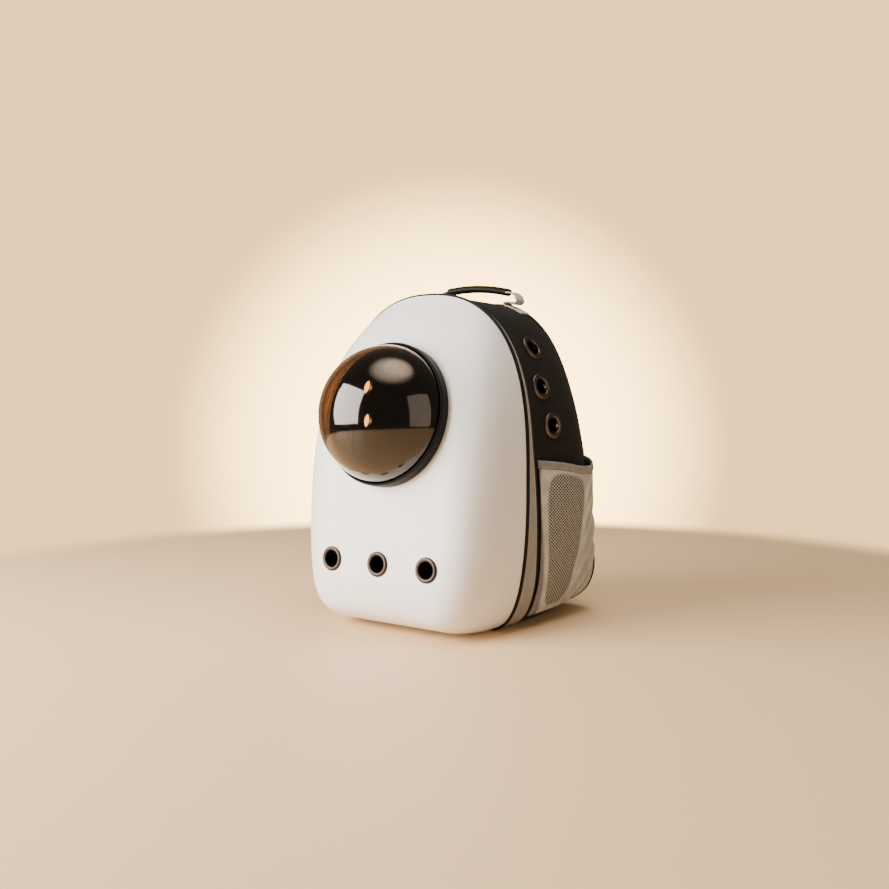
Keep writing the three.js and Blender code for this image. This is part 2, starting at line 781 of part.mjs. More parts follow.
// The webbing leaves the grip, folds down and under in a small loop, and ends in a flat tab
function handleWebbing({ way, reach }) {
  const level = gripHeight(way * (gripLength / 2 + gap));
  const start = gripLength / 2 + gap + way * gripShift;
  const above = (x, lift) => new THREE.Vector3(x, handleDepth, topHeight(x, handleDepth) + lift);
  const folded = [
    [start, level], [start + reach * 0.5, level - foldDrop * 0.06],
    [start + reach * 0.9, level - foldDrop * 0.3], [start + reach, level - foldDrop * 0.6],
  ].map(([x, z]) => new THREE.Vector3(x, handleDepth, z));
  const loop = [
    above(start + reach * 0.75, loopLift), above(start + reach * 0.3, loopLift * 0.95),
    above(start - loopReach, loopLift * 0.55), above(start - loopReach * 0.6, tabLift * 1.15),
  ];
  const tab = [0.25, 0.5, 0.75, 1].map((share) => {
    const x = start - loopReach * 0.6 + tabLength * share;
    const slope = (topHeight(x + 1, handleDepth) - topHeight(x - 1, handleDepth)) / 2;
    return above(x, 0).addScaledVector(new THREE.Vector3(-slope, 0, 1).normalize(), tabLift);
  });
  const points = folded.concat(loop, tab)
    .map((point) => new THREE.Vector3(way * point.x, point.y, point.z));
  return ribbon(points, handleWebWidth, webThickness, new THREE.Vector3(0, 1, 0), flatSection);
}

// A strap's line: it starts and ends on the back panel and stands off it between
function strapPoints(table, side, thickness) {
  return table.map(({ height, across, standoff }) => {
    const z = height * bagHeight;
    const x = across * (backWidth / 2);
    const out = panelRear(x, z) + thickness / 2 + 2 * gap + strapStandoff * standoff;
    return new THREE.Vector3(side * x, out, z);
  });
}

const strapWidthwise = (side) => {
  const lean = new THREE.Vector3(0.25 * side, 0, -1).normalize();
  return new THREE.Vector3(0, 1, 0).cross(lean).multiplyScalar(side);
};

function shoulderPad(side) {
  return ribbon(strapPoints(strapRun, side, padThickness), padWidth, padThickness, strapWidthwise(side), paddedSection);
}

function shoulderWebbing(side) {
  return ribbon(strapPoints(strapTail, side, webThickness), strapWebWidth, webThickness, strapWidthwise(side), flatSection);
}

function frameWithSlots(width, height, thickness, bar) {
  const outline = new THREE.Shape();
  outline.moveTo(-width / 2, -height / 2);
  outline.lineTo(width / 2, -height / 2);
  outline.lineTo(width / 2, height / 2);
  outline.lineTo(-width / 2, height / 2);
  outline.closePath();
  const slotHeight = (height - 3 * bar) / 2;
  for (const side of [-1, 1]) {
    const low = side < 0 ? -height / 2 + bar : bar / 2;
    const slot = new THREE.Path();
    slot.moveTo(-width / 2 + bar, low);
    slot.lineTo(-width / 2 + bar, low + slotHeight);
    slot.lineTo(width / 2 - bar, low + slotHeight);
    slot.lineTo(width / 2 - bar, low);
    slot.closePath();
    outline.holes.push(slot);
  }
  return new THREE.ExtrudeGeometry(outline, { depth: thickness, bevelEnabled: false });
}

// The adjuster hangs at the end of the pad; the webbing passes over it
function strapAdjuster(side) {
  const frame = frameWithSlots(adjusterWidth, adjusterHeight, adjusterThickness, adjusterBar);
  const mesh = meshOf(side > 0 ? 'strap_adjuster_right' : 'strap_adjuster_left', frame, 'blackPlastic');
  const [top, next] = strapPoints(strapTail, side, webThickness);
  const down = next.clone().sub(top).normalize();
  const across = strapWidthwise(side).clone().addScaledVector(down, -down.dot(strapWidthwise(side)));
  across.normalize();
  const outward = across.clone().cross(down).multiplyScalar(-1);
  if (outward.y < 0) outward.multiplyScalar(-1);
  const upward = outward.clone().cross(across);
  const basis = new THREE.Matrix4().makeBasis(across, upward, outward);
  mesh.quaternion.setFromRotationMatrix(basis);
  mesh.position.copy(top)
    .addScaledVector(down, adjusterHeight / 2 + gap)
    .addScaledVector(outward, webThickness / 2 + gap);
  return mesh;
}

// A plain zip slider on the left side, above the pocket and out of the photographed side
const sliderHeight = pocketMouth + sliderClearance;

function zipSlider() {
  const outline = new THREE.Shape();
  outline.moveTo(-sliderWidth / 2, -sliderLength * 0.25);
  outline.lineTo(-sliderWidth * 0.3, -sliderLength / 2);
  outline.lineTo(sliderWidth * 0.3, -sliderLength / 2);
  outline.lineTo(sliderWidth / 2, -sliderLength * 0.25);
  outline.lineTo(sliderWidth * 0.3, sliderLength / 2);
  outline.lineTo(-sliderWidth * 0.3, sliderLength / 2);
  outline.closePath();
  const body = new THREE.ExtrudeGeometry(outline, { depth: sliderThickness, bevelEnabled: false });
  const mesh = meshOf('zip_slider', body, 'eyelet');
  const depth = (zipStart(sliderHeight) + zipEnd(sliderHeight)) / 2;
  const point = mirrorX(sidePoint(sliderHeight, depth));
  const outward = mirrorX(sideNormal(sliderHeight, depth));
  const backward = new THREE.Vector3(0, 1, 0).addScaledVector(outward, -outward.y).normalize();
  const upward = outward.clone().cross(backward);
  mesh.quaternion.setFromRotationMatrix(new THREE.Matrix4().makeBasis(backward, upward, outward));
  mesh.position.copy(point).addScaledVector(outward, gap + 0.4);
  return mesh;
}

const carrier = new THREE.Group();
carrier.position.y = -originDepth;
carrier.add(meshOf('front_shell', frontShell(), 'shell'));

const bubble = new THREE.Group();
bubble.position.copy(windowSeat.position);
bubble.quaternion.copy(windowSeat.quaternion);
bubble.add(meshOf('window_ring', windowRing(), 'blackPlastic'));
bubble.add(meshOf('bubble_window', bubbleWindow(), 'dome'));
carrier.add(bubble);

['left', 'middle', 'right'].forEach((place, i) => {
  const seat = frontEyeletSeats[i];
  const ring = eyelet(frontEyeletRadius, shellWall, seat, onShell);
  carrier.add(placed(meshOf(`front_eyelet_${place}`, ring, 'eyelet'), seat));
});

carrier.add(meshOf('shell_piping', pipingLoop(seamSection, () => pipingDepth), 'blackPlastic'));
carrier.add(meshOf('trim_band', wallLoop(() => stackStart, bandEnd, trimWall, 1), 'paleCloth'));
carrier.add(meshOf('main_zip', wallLoop(zipStart, zipEnd, trimWall, 1), 'blackCloth'));
carrier.add(zipSlider());
carrier.add(meshOf('gusset_panel', gussetPanel(), 'blackCloth'));

sideEyeletSeats.forEach(({ side, seat }, i) => {
  const name = `side_eyelet_${side}_${['top', 'middle', 'low'][Math.floor(i / 2)]}`;
  const ring = eyelet(sideEyeletRadius, gussetWall, seat, onSide);
  carrier.add(placed(meshOf(name, ring, 'eyelet'), seat));
});

carrier.add(meshOf('back_piping', pipingLoop(backSection, backDepth), 'blackPlastic'));
carrier.add(meshOf('back_panel', backPanel(), 'blackCloth'));

const courses = [0, 0.05, 0.11, 0.18, 0.28, 0.45, 0.72, 1];
const pocketCloth = pocketSheet(() => pocketBottom, (u) => rimBottom(u) - gap, pocketWall, 0, courses);
const rimCloth = pocketSheet(rimBottom, mouthHeight, rimWall, (rimWall - pocketWall) / 2, [0, 1]);
for (const [side, scale] of [['right', 1], ['left', -1]]) {
  for (const [name, cloth] of [['side_pocket', pocketCloth], ['pocket_rim', rimCloth]]) {
    const shape = cloth.clone().scale(scale, 1, 1);
    carrier.add(meshOf(`${name}_${side}`, scale < 0 ? turnedInsideOut(shape) : shape, 'meshCloth'));
  }
}

carrier.add(meshOf('handle_grip', handleGrip(), 'blackCloth'));
for (const fold of handleFolds) {
  carrier.add(meshOf(`handle_webbing_${fold.side}`, handleWebbing(fold), 'paleCloth'));
}
for (const [side, way] of [['right', 1], ['left', -1]]) {
  carrier.add(meshOf(`shoulder_pad_${side}`, shoulderPad(way), 'blackCloth'));
  carrier.add(meshOf(`strap_webbing_${side}`, shoulderWebbing(way), 'blackCloth'));
  carrier.add(strapAdjuster(way));
}

export default carrier;
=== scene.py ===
# A bubble pet carrier backpack: the looks of each piece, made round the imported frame.
# Sizes are in millimetres from the seam between shell and soft body, as the pieces are sewn.
import math
import random

import bmesh
import bpy
from mathutils import Matrix, Vector


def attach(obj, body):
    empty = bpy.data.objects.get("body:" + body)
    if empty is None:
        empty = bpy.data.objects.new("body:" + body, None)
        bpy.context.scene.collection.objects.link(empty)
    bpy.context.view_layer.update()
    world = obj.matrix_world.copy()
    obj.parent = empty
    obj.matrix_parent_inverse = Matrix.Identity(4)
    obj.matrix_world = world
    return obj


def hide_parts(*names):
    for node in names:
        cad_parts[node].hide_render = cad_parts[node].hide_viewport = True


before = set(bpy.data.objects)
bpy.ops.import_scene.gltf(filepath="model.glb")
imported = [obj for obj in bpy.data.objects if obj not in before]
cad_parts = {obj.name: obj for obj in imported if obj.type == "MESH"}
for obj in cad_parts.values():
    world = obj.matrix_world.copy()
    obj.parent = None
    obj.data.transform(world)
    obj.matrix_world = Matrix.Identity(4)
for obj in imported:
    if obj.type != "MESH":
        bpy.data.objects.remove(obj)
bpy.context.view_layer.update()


# Stage: a pale floor whose far edge fades out, a softbox on the left that lights the shell's
# front, a weak one on the right, a lamp overhead, and a light warm backdrop. The dome's gloss
# mirrors the two softboxes, and a soft glow of the world where the lamp is.
class Term:
    """A socket of one finish, so that shader maths reads as plain sums."""

    def __init__(self, finish, socket):
        self.finish = finish
        self.socket = socket

    def __add__(self, other):
        return self.finish.maths("ADD", self, other)

    def __sub__(self, other):
        return self.finish.maths("SUBTRACT", self, other)

    def __rsub__(self, other):
        return self.finish.maths("SUBTRACT", other, self)

    def __mul__(self, other):
        return self.finish.maths("MULTIPLY", self, other)

    def __truediv__(self, other):
        return self.finish.maths("DIVIDE", self, other)

    __radd__ = __add__
    __rmul__ = __mul__


class Finish:
    """One material, or the world, and the nodes that make it."""

    def __init__(self, name, tree=None):
        if tree is None:
            self.material = bpy.data.materials.new(name)
            self.material.use_nodes = True
            tree = self.material.node_tree
        tree.nodes.clear()
        self.tree = tree

    def node(self, kind, output, settings=None, inputs=None):
        made = self.tree.nodes.new(kind)
        for key, setting in (settings or {}).items():
            if key == "stops":
                ramp = made.color_ramp.elements
                for index, (place, colour) in enumerate(setting):
                    stop = ramp[index] if index < 2 else ramp.new(place)
                    stop.position = place
                    stop.color = (*colour, 1)
            else:
                setattr(made, key, setting)
        for key, value in (inputs or {}).items():
            if isinstance(value, Term):
                self.tree.links.new(value.socket, made.inputs[key])
            else:
                made.inputs[key].default_value = value
        return Term(self, made.outputs[output])

    def maths(self, operation, *values, clamp=False):
        return self.node("ShaderNodeMath", 0, {"operation": operation, "use_clamp": clamp},
                         dict(enumerate(values)))

    def ramp(self, factor, low, high):
        """A smooth step from 0 at low to 1 at high."""
        return self.node("ShaderNodeMapRange", 0, {"interpolation_type": "SMOOTHSTEP"},
                         {"Value": factor, "From Min": low, "From Max": high})

    def mix(self, factor, first, second):
        colours = [c if isinstance(c, Term) else (*c, 1) for c in (first, second)]
        return self.node("ShaderNodeMix", 2, {"data_type": "RGBA"},
                         {0: factor, 6: colours[0], 7: colours[1]})

    def place(self):
        return self.node("ShaderNodeTexCoord", "Object")

    def across(self):
        """The two cloth directions in millimetres, from the mesh's own map."""
        made = self.node("ShaderNodeUVMap", 0, {"uv_map": "UVMap"})
        split = self.node("ShaderNodeSeparateXYZ", 0, None, {0: made})
        return split * 1000, Term(self, split.socket.node.outputs[1]) * 1000

    def shares(self):
        """How far along each row of the mesh, and how far through its rows."""
        made = self.node("ShaderNodeUVMap", 0, {"uv_map": "Share"})
        split = self.node("ShaderNodeSeparateXYZ", 0, None, {0: made})
        return split, Term(self, split.socket.node.outputs[1])

    def cloud(self, size, detail=2.0, rough=0.5):
        """Noise whose patches are about this many millimetres wide."""
        return self.node("ShaderNodeTexNoise", 0, None, {
            "Vector": self.place(), "Scale": 1000 / size, "Detail": detail, "Roughness": rough,
        })

    def wave(self, along, pitch):
        return self.maths("SINE", along * (2 * math.pi / pitch))

    def surface(self, sockets, height=None, depth=0.0002, strength=1.0):
        """The one shader, from named sockets, with a bump of the given depth in metres."""
        made = dict(sockets)
        if height is not None:
            made["Normal"] = self.node("ShaderNodeBump", 0, None, {
                "Strength": strength, "Distance": depth, "Height": height,
            })
        if not isinstance(made["Base Color"], Term):
            made["Base Color"] = (*made["Base Color"], 1)
        shader = self.node("ShaderNodeBsdfPrincipled", 0, None, made)
        out = self.tree.nodes.new("ShaderNodeOutputMaterial")
        self.tree.links.new(shader.socket, out.inputs[0])
        return self.material


floor_reach, fade_from, fade_to = 1.15, 0.84, 1.02
floor_mesh = bpy.data.meshes.new("floor")
rim = [(floor_reach * math.cos(t * math.pi / 48), floor_reach * math.sin(t * math.pi / 48), -0.0003)
       for t in range(96)]
floor_mesh.from_pydata(rim, [], [list(range(96))])
floor = bpy.data.objects.new("floor", floor_mesh)
bpy.context.collection.objects.link(floor)
finish = Finish("pale_floor")
spot = finish.place()
distance = finish.node("ShaderNodeVectorMath", 1, {"operation": "LENGTH"}, {0: spot})
floor_mesh.materials.append(finish.surface({
    "Base Color": (0.88, 0.61, 0.345),
    "Roughness": 0.5,
    "Alpha": 1 - finish.ramp(distance, fade_from, fade_to),
}))

world = bpy.data.worlds.new("studio")
bpy.context.scene.world = world
world.use_nodes = True
finish = Finish("studio", world.node_tree)
camera_ray = finish.node("ShaderNodeLightPath", "Is Camera Ray")
through_ray = finish.node("ShaderNodeLightPath", "Is Transmission Ray")
spot = finish.node("ShaderNodeTexCoord", "Generated")
ahead = finish.node("ShaderNodeVectorMath", 1, {"operation": "DOT_PRODUCT"},
                    {0: spot, 1: (-0.582, 0.811, -0.06)})
halo = finish.ramp(ahead, 0.964, 0.999)
seen = finish.maths("MAXIMUM", camera_ray, through_ray * finish.ramp(ahead, 0.7, 0.85))
pale = finish.mix(halo, (2.3, 1.4, 0.6), (10.5, 6.8, 2.4))
mirrored_ray = finish.node("ShaderNodeLightPath", "Is Glossy Ray")
overhead = finish.node("ShaderNodeVectorMath", 1, {"operation": "DOT_PRODUCT"},
                       {0: spot, 1: (0.14, -0.09, 0.986)})
soft_glow = mirrored_ray * finish.ramp(overhead, 0.86, 1.0)
dim = finish.mix(soft_glow, (0.17, 0.14, 0.11), (5.5, 4.6, 3.6))
glow = finish.mix(seen, dim, pale)
backdrop = finish.node("ShaderNodeBackground", 0, None, {"Color": glow, "Strength": 1.0})
world_out = finish.tree.nodes.new("ShaderNodeOutputWorld")
finish.tree.links.new(backdrop.socket, world_out.inputs[0])

middle_of_bag = Vector((0, 0, 0.23))


def softbox(name, side, up, away, wide, high, power, colour, round_lamp=False):
    """A soft lamp aimed at the bag, placed by its angle from the front and its angle up."""
    lamp = bpy.data.lights.new(name, "AREA")
    lamp.shape = "DISK" if round_lamp else "RECTANGLE"
    lamp.size = wide
    if not round_lamp:
        lamp.size_y = high
    lamp.energy = power
    lamp.color = colour
    stand = bpy.data.objects.new(name, lamp)
    bpy.context.collection.objects.link(stand)
    turn, rise = math.radians(side), math.radians(up)
    outward = Vector((math.sin(turn) * math.cos(rise), -math.cos(turn) * math.cos(rise),
                      math.sin(rise)))
    stand.location = middle_of_bag + outward * away
    stand.rotation_euler = outward.to_track_quat("Z", "Y").to_euler()
    return stand


softbox("left_softbox", -32, 14, 1.8, 1.5, 1.5, 120, (1.0, 0.95, 0.89))
softbox("right_softbox", 84, 9, 1.8, 1.2, 1.5, 9, (1.0, 0.84, 0.66))
overhead_lamp = softbox("overhead_lamp", 70, 78, 1.5, 0.9, 0.9, 22, (1.0, 0.94, 0.87),
                        round_lamp=True)
overhead_lamp.visible_glossy = False

# Camera: the photograph's own angle, height and lens
turn, tip = math.radians(35.712), math.radians(3.234)
back = Vector((math.sin(turn) * math.cos(tip), -math.cos(turn) * math.cos(tip), math.sin(tip)))
rightward = Vector((math.cos(turn), math.sin(turn), 0))
upward = back.cross(rightward)
camera = bpy.data.objects.new("camera", bpy.data.cameras.new("camera"))
bpy.context.collection.objects.link(camera)
camera.matrix_world = Matrix((
    (rightward.x, upward.x, back.x, 0.8114), (rightward.y, upward.y, back.y, -1.17791),
    (rightward.z, upward.z, back.z, 0.3063), (0, 0, 0, 1),
))
camera.data.lens = 42.565
camera.data.sensor_width = 36
camera.data.shift_x = -0.00506
camera.data.shift_y = -0.00056
bpy.context.scene.camera = camera

# Front shell: the hard half of the bag, moulded in glossy white plastic with a large round hole
# for the window and three small ones for vents. Inside it is lined with dark cloth.
bag_height, bag_width, shell_depth, gusset_depth = 420, 296, 110, 200
origin_depth = 95
seam_widest, back_width, back_widest, back_height = 172.6, 283, 75.5, 415.5
crown_round, crown_shoulder, base_round, base_sink = 3.18, 2.3, 2.06, 1
gap, wall = 0.35, 2.5
flank_fullness, flank_roll, base_fullness, crown_fullness, crown_roll = 8.7, 2.03, 2, -2, -1.2
shell_depths = [(0, 1.013), (0.14, 0.966), (0.29, 0.911), (0.48, 0.835), (0.64, 0.738),
                (0.79, 0.638), (0.9, 0.546), (1, 0.415)]
gusset_depths = [(0, 1), (0.25, 0.885), (0.5, 0.795), (0.75, 0.73), (1, 0.725)]
swell_run = [(0, 0), (0.12, 0.1), (0.35, 0.55), (0.6, 0.95), (0.7, 1), (0.85, 0.75), (1, 0)]
swell_rise = [(0, 0), (0.1, 0.1), (0.3, 0.5), (0.5, 0.9), (0.7, 1), (1, 1)]
side_swell = 20
corner_run = [(0, 7.95), (0.1, 9.2), (0.45, 9), (0.7, 7), (0.87, 4.5), (1, 3.6)]


def read_table(rows, at):
    """A smooth reading of a table between its rows."""
    last = len(rows) - 1
    at = min(max(at, rows[0][0]), rows[last][0])
    row = 0
    while row < last - 1 and at > rows[row + 1][0]:
        row += 1

    def slope(i):
        return (rows[i + 1][1] - rows[i][1]) / (rows[i + 1][0] - rows[i][0])

    def slope_at(i):
        if i in (0, last):
            return slope(min(i, last - 1))
        before, after = slope(i - 1), slope(i)
        return 0 if before * after <= 0 else (before + after) / 2

    step = rows[row + 1][0] - rows[row][0]
    t = (at - rows[row][0]) / step
    return ((2 * t**3 - 3 * t**2 + 1) * rows[row][1] + (t**3 - 2 * t**2 + t) * step * slope_at(row)
            + (3 * t**2 - 2 * t**3) * rows[row + 1][1] + (t**3 - t**2) * step * slope_at(row + 1))


def lerp(a, b, t):
    return a + (b - a) * t


def back_depth(z):
    return gusset_depth * read_table(gusset_depths, z / bag_height)


def section_at(share, z):
    """Half width, widest level, top and corner of the outline between seam and back."""
    swell = side_swell * read_table(swell_run, share) * read_table(swell_rise, z / bag_height)
    return (lerp(bag_width, back_width, share) / 2 + swell, lerp(seam_widest, back_widest, share),
            lerp(bag_height, back_height, share), read_table(corner_run, share))


seam_section = section_at(0, 0)
back_section = section_at(1, 0)


def outline_point(section, angle, inset=0.0, floor=None):
    half, widest, top, corner = section
    c, s = math.cos(angle), math.sin(angle)
    across, upright = (crown_shoulder, crown_round) if s >= 0 else (corner, base_round)
    reach = top - widest if s >= 0 else widest + base_sink
    x = math.copysign((half - inset) * abs(c) ** (2 / across), c)
    z = widest + math.copysign((reach - inset) * abs(s) ** (2 / upright), s)
    return (0 if abs(x) < 1e-9 else x), max(z, inset if floor is None else floor)


def shell_depth_at(z, share, above, lean, inset=0.0):
    fullness = flank_fullness + (crown_fullness if above else base_fullness) * lean
    roll = flank_roll + (crown_roll * lean if above else 0)
    crown = shell_depth * read_table(shell_depths, z / bag_height) - inset
    return max(crown, 0) * max(1 - share**fullness, 0) ** (1 / roll)


def shell_point(angle, share, inset=0.0):
    x, z = outline_point(seam_section, angle, inset)
    z = lerp(seam_widest, z, share)
    above = math.sin(angle) >= 0
    lean = abs(math.sin(angle)) ** (4 / (crown_round if above else base_round))
    return Vector((x * share, -shell_depth_at(z, share, above, lean, inset), z))


def share_out(section, x, z, inset=0.0):
    """How far out a place lies, from the widest level to the outline."""
    half, widest, top, corner = section
    above = z >= widest
    across, upright = (crown_shoulder, crown_round) if above else (corner, base_round)
    reach = (top - widest if above else widest + base_sink) - inset
    near, far = 1e-4, 1.0
    for _ in range(22):
        share = (near + far) / 2
        if (abs(x) / ((half - inset) * share)) ** across \
                + (abs(z - widest) / (reach * share)) ** upright > 1:
            near = share
        else:
            far = share
    return far, above, min(abs(z - widest) / (reach * far), 1)


def shell_front_at(x, z):
    share, above, rise = share_out(seam_section, x, z)
    return Vector((x, -shell_depth_at(z, share, above, rise**2), z))


def surface_normal(point_at, a, b):
    """The outward direction of a surface that is read by two measures."""
    first = point_at(a, b + 1) - point_at(a, b - 1)
    second = point_at(a + 1, b) - point_at(a - 1, b)
    return second.cross(first).normalized()


def turns(count, start=-math.pi / 2):
    """Angles round the outline, from the middle of the base."""
    return [start + 2 * math.pi * i / count for i in range(count)]


def skin(name, rows, closed=True, joined=False, fans=(), crease=35):
    """A mesh through rows of points, with a map of its lengths in metres. A closed row meets
    itself, joined rows meet each other, and a fan closes the first or last row."""
    count = len(rows[0])
    points = [p for row in rows for p in row]
    vertices = [(p[0] / 1000, (p[1] - origin_depth) / 1000, p[2] / 1000) for p in points]
    wide = count if closed else count - 1
    tall = len(rows) if joined else len(rows) - 1
    run = []
    for row in rows:
        total, lengths = 0.0, [0.0]
        for i in range(wide):
            total += (Vector(row[(i + 1) % count]) - Vector(row[i])).length
            lengths.append(total)
        run.append(lengths)
    fall = [[0.0] * (count + 1)]
    for r in range(tall):
        below = rows[(r + 1) % len(rows)]
        steps = [(Vector(below[i % count]) - Vector(rows[r][i % count])).length
                 for i in range(count + 1)]
        fall.append([fall[r][i] + steps[i] for i in range(count + 1)])
    faces, corners, shares_here = [], [], []
    for r in range(tall):
        after = (r + 1) % len(rows)
        for i in range(wide):
            j = (i + 1) % count
            shares_here += [(a / wide, b / tall) for a, b in (
                (i, r), (i + 1, r), (i + 1, r + 1), (i, r + 1))]
            faces.append([r * count + i, r * count + j, after * count + j, after * count + i])
            corners += [(run[r][i], fall[r][i]), (run[r][i + 1], fall[r][i + 1]),
                        (run[after][i + 1], fall[r + 1][i + 1]), (run[after][i], fall[r + 1][i])]
    for end in fans:
        row = end * (len(rows) - 1)
        middle = sum((Vector(p) for p in rows[row]), Vector()) / count
        vertices.append((middle.x / 1000, (middle.y - origin_depth) / 1000, middle.z / 1000))
        for i in range(count):
            j = (i + 1) % count
            pair = (i, j) if end else (j, i)
            faces.append([row * count + pair[0], row * count + pair[1], len(vertices) - 1])
            corners += [(run[row][i], fall[row][i])] * 3
            shares_here += [(i / wide, end)] * 3
    mesh = bpy.data.meshes.new(name)
    mesh.from_pydata(vertices, [], faces)
    layer = mesh.uv_layers.new(name="UVMap")
    for loop, (u, v) in enumerate(corners):
        layer.data[loop].uv = (u / 1000, v / 1000)
    layer = mesh.uv_layers.new(name="Share")
    for loop, (u, v) in enumerate(shares_here):
        layer.data[loop].uv = (u, v)
    return piece_from(name, mesh, crease)


def piece_from(name, mesh, crease=35):
    """An object of a mesh whose faces point outward, shaded smooth up to a crease."""
    mesh.update()
    corner = [mesh.vertices[i].co for face in mesh.polygons for i in face.vertices]
    volume, at = 0.0, 0
    for face in mesh.polygons:
        ring = corner[at:at + face.loop_total]
        at += face.loop_total
        for i in range(1, len(ring) - 1):
            volume += ring[0].dot(ring[i].cross(ring[i + 1]))
    if volume < 0:
        mesh.flip_normals()
    mesh.shade_smooth()
    mesh.set_sharp_from_angle(angle=math.radians(crease))
    thing = bpy.data.objects.new(name, mesh)
    bpy.context.collection.objects.link(thing)
    return thing


def cut(thing, cutters):
    """Takes the cutters out of a piece, for holes under a flange."""
    for cutter in cutters:
        modifier = thing.modifiers.new("hole", "BOOLEAN")
        modifier.object = cutter
        modifier.solver = "MANIFOLD"
    evaluated = thing.evaluated_get(bpy.context.evaluated_depsgraph_get())
    mesh = bpy.data.meshes.new_from_object(evaluated)
    thing.modifiers.clear()
    thing.data = mesh
    for cutter in cutters:
        bpy.data.objects.remove(cutter)


def seat_at(point, outward):
    """A seat on a surface, in millimetres, whose own Z points outward."""
    spin = Vector((0, 0, 1)).rotation_difference(outward)
    return Matrix.Translation(point) @ spin.to_matrix().to_4x4()


def drill(radius, reach, seat, steps=48):
    ring = [(radius * math.cos(a), radius * math.sin(a)) for a in turns(steps)]
    rows = [[seat @ Vector((x, y, h)) for x, y in ring] for h in (-reach, reach)]
    return skin("drill", rows, fans=(0, 1))


def dress(thing, material, body, slot, *nodes):
    """Gives a piece its finish, its body and the solids that it stands for. Its slot is not used."""
    if material:
        thing.data.materials.clear()
        thing.data.materials.append(material)
    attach(thing, body)
    if nodes:
        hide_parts(*nodes)


window_height, window_tilt = 269, math.radians(12.5)
window_out = Vector((0, -math.cos(window_tilt), math.sin(window_tilt)))
window_seat = seat_at(shell_front_at(0, window_height), window_out)
neck_radius, running_gap = 80, 0.4
eyelet_bore, eyelet_barrel = 10, 1.2
front_vents = [seat_at(shell_front_at(x, 88), surface_normal(shell_front_at, x, 88))
               for x in (-74, 0, 74)]

shares = [0.02, 0.12, 0.24, 0.36, 0.46, 0.56, 0.64]
shares += [math.sin(t * math.pi / 2 / 24) ** (2 / flank_fullness) for t in range(2, 25)]
around = turns(192)
outer = [[shell_point(a, share) for a in around] for share in shares]
inner = [[shell_point(a, share, wall) for a in around] for share in reversed(shares)]
shell = skin("moulded_shell", outer + inner, fans=(0, 1), crease=50)

finish = Finish("moulded_white")
dust = finish.cloud(60, 3)
fine = finish.cloud(1.6, 2)
white = finish.mix(finish.ramp(dust, 0.35, 0.7), (0.80, 0.785, 0.76), (0.775, 0.755, 0.725))
glossy_white = finish.surface({
    "Base Color": white, "Roughness": 0.3 + 0.06 * finish.cloud(25, 3), "IOR": 1.46,
    "Coat Weight": 0.2, "Coat Roughness": 0.22,
}, fine, 0.00001, 0.4)

finish = Finish("dark_lining")
lining = finish.surface({
    "Base Color": finish.mix(finish.cloud(30, 2), (0.002, 0.002, 0.002), (0.005, 0.005, 0.004)),
    "Roughness": 0.95, "Specular IOR Level": 0.1,
}, finish.cloud(1.2, 1), 0.0001)
shell.data.materials.append(glossy_white)
shell.data.materials.append(lining)
inside_from = len(shares) * len(around)
for face in shell.data.polygons:
    if face.index >= inside_from:
        face.material_index = 1
outer_fan = (len(outer + inner) - 1) * len(around)
for face in shell.data.polygons[outer_fan:outer_fan + len(around)]:
    face.material_index = 0
cut(shell, [drill(neck_radius + running_gap, 30, window_seat, 128)]
    + [drill(eyelet_bore + eyelet_barrel + gap, 10, seat) for seat in front_vents])
shell.data.shade_smooth()
shell.data.set_sharp_from_angle(angle=math.radians(50))
dress(shell, None, "carrier", "shell", "front_shell")

# Window ring: a bezel of satin black plastic that sits on the shell, with a shoulder for the dome
# and a short neck through the hole. It is twisted in and lifts off with the dome.
ring_radius, ring_height, ring_gap = 89, 12.8, 0.625
neck_wall, neck_reach = 2, 14
dome_radius, dome_wall, dome_sink, dome_seat = 86.7, 2.5, 1.6, 2.8


def height_over(seat, surface_at, x, y):
    flat = seat @ Vector((x, y, 0))
    outward = (seat.to_3x3() @ Vector((0, 0, 1))).normalized()
    return (surface_at(flat) - flat).dot(outward)


def turned(name, profile, seat, steps, follow=None, picks=lambda h: True, crease=40):
    """A piece turned from radius and height pairs about its seat's own Z. Its picked heights
    follow the surface below."""
    rows = []
    for radius, height in profile:
        row = []
        for a in turns(steps, 0):
            x, y = radius * math.cos(a), radius * math.sin(a)
            lift = height_over(seat, follow, x, y) if follow and picks(height) else 0
            row.append(seat @ Vector((x, y, height + lift)))
        rows.append(row)
    return skin(name, rows, joined=True, crease=crease)


def on_shell(p):
    return shell_front_at(p.x, p.z)


def dome_at(height):
    return math.sqrt(dome_radius**2 - (height + dome_sink) ** 2)


lip = ring_height
shoulder = dome_seat - gap
neck_inner = neck_radius - neck_wall
profile = [(neck_inner, -neck_reach), (neck_radius, -neck_reach), (neck_radius, ring_gap),
           (ring_radius - 0.3, ring_gap), (ring_radius, ring_gap + 0.001)]
profile += [(ring_radius, 3), (ring_radius, 6), (ring_radius - 0.05, 8.5)]
top_middle = (ring_radius + dome_at(lip) + gap) / 2
top_half = (ring_radius - dome_at(lip) - gap) / 2
profile += [(top_middle + top_half * math.cos(math.radians(a)),
             lip - 3.2 + 3.2 * math.sin(math.radians(a))) for a in range(10, 171, 16)]
profile += [(dome_at(h) + gap, h) for h in (lip - 4, 6, shoulder)]
profile += [(neck_inner, shoulder)]
ring = turned("window_bezel", profile, window_seat, 144, on_shell, lambda h: h == ring_gap)

finish = Finish("satin_black")
specks = finish.cloud(0.5, 1)
satin_black = finish.surface({
    "Base Color": finish.mix(finish.cloud(20, 2), (0.003, 0.0028, 0.0026), (0.006, 0.0055, 0.005)),
    "Roughness": 0.36 + 0.12 * finish.cloud(8, 3), "Specular IOR Level": 0.12,
}, specks, 0.00003, 0.5)
dress(ring, satin_black, "bubble", "ring", "window_ring")

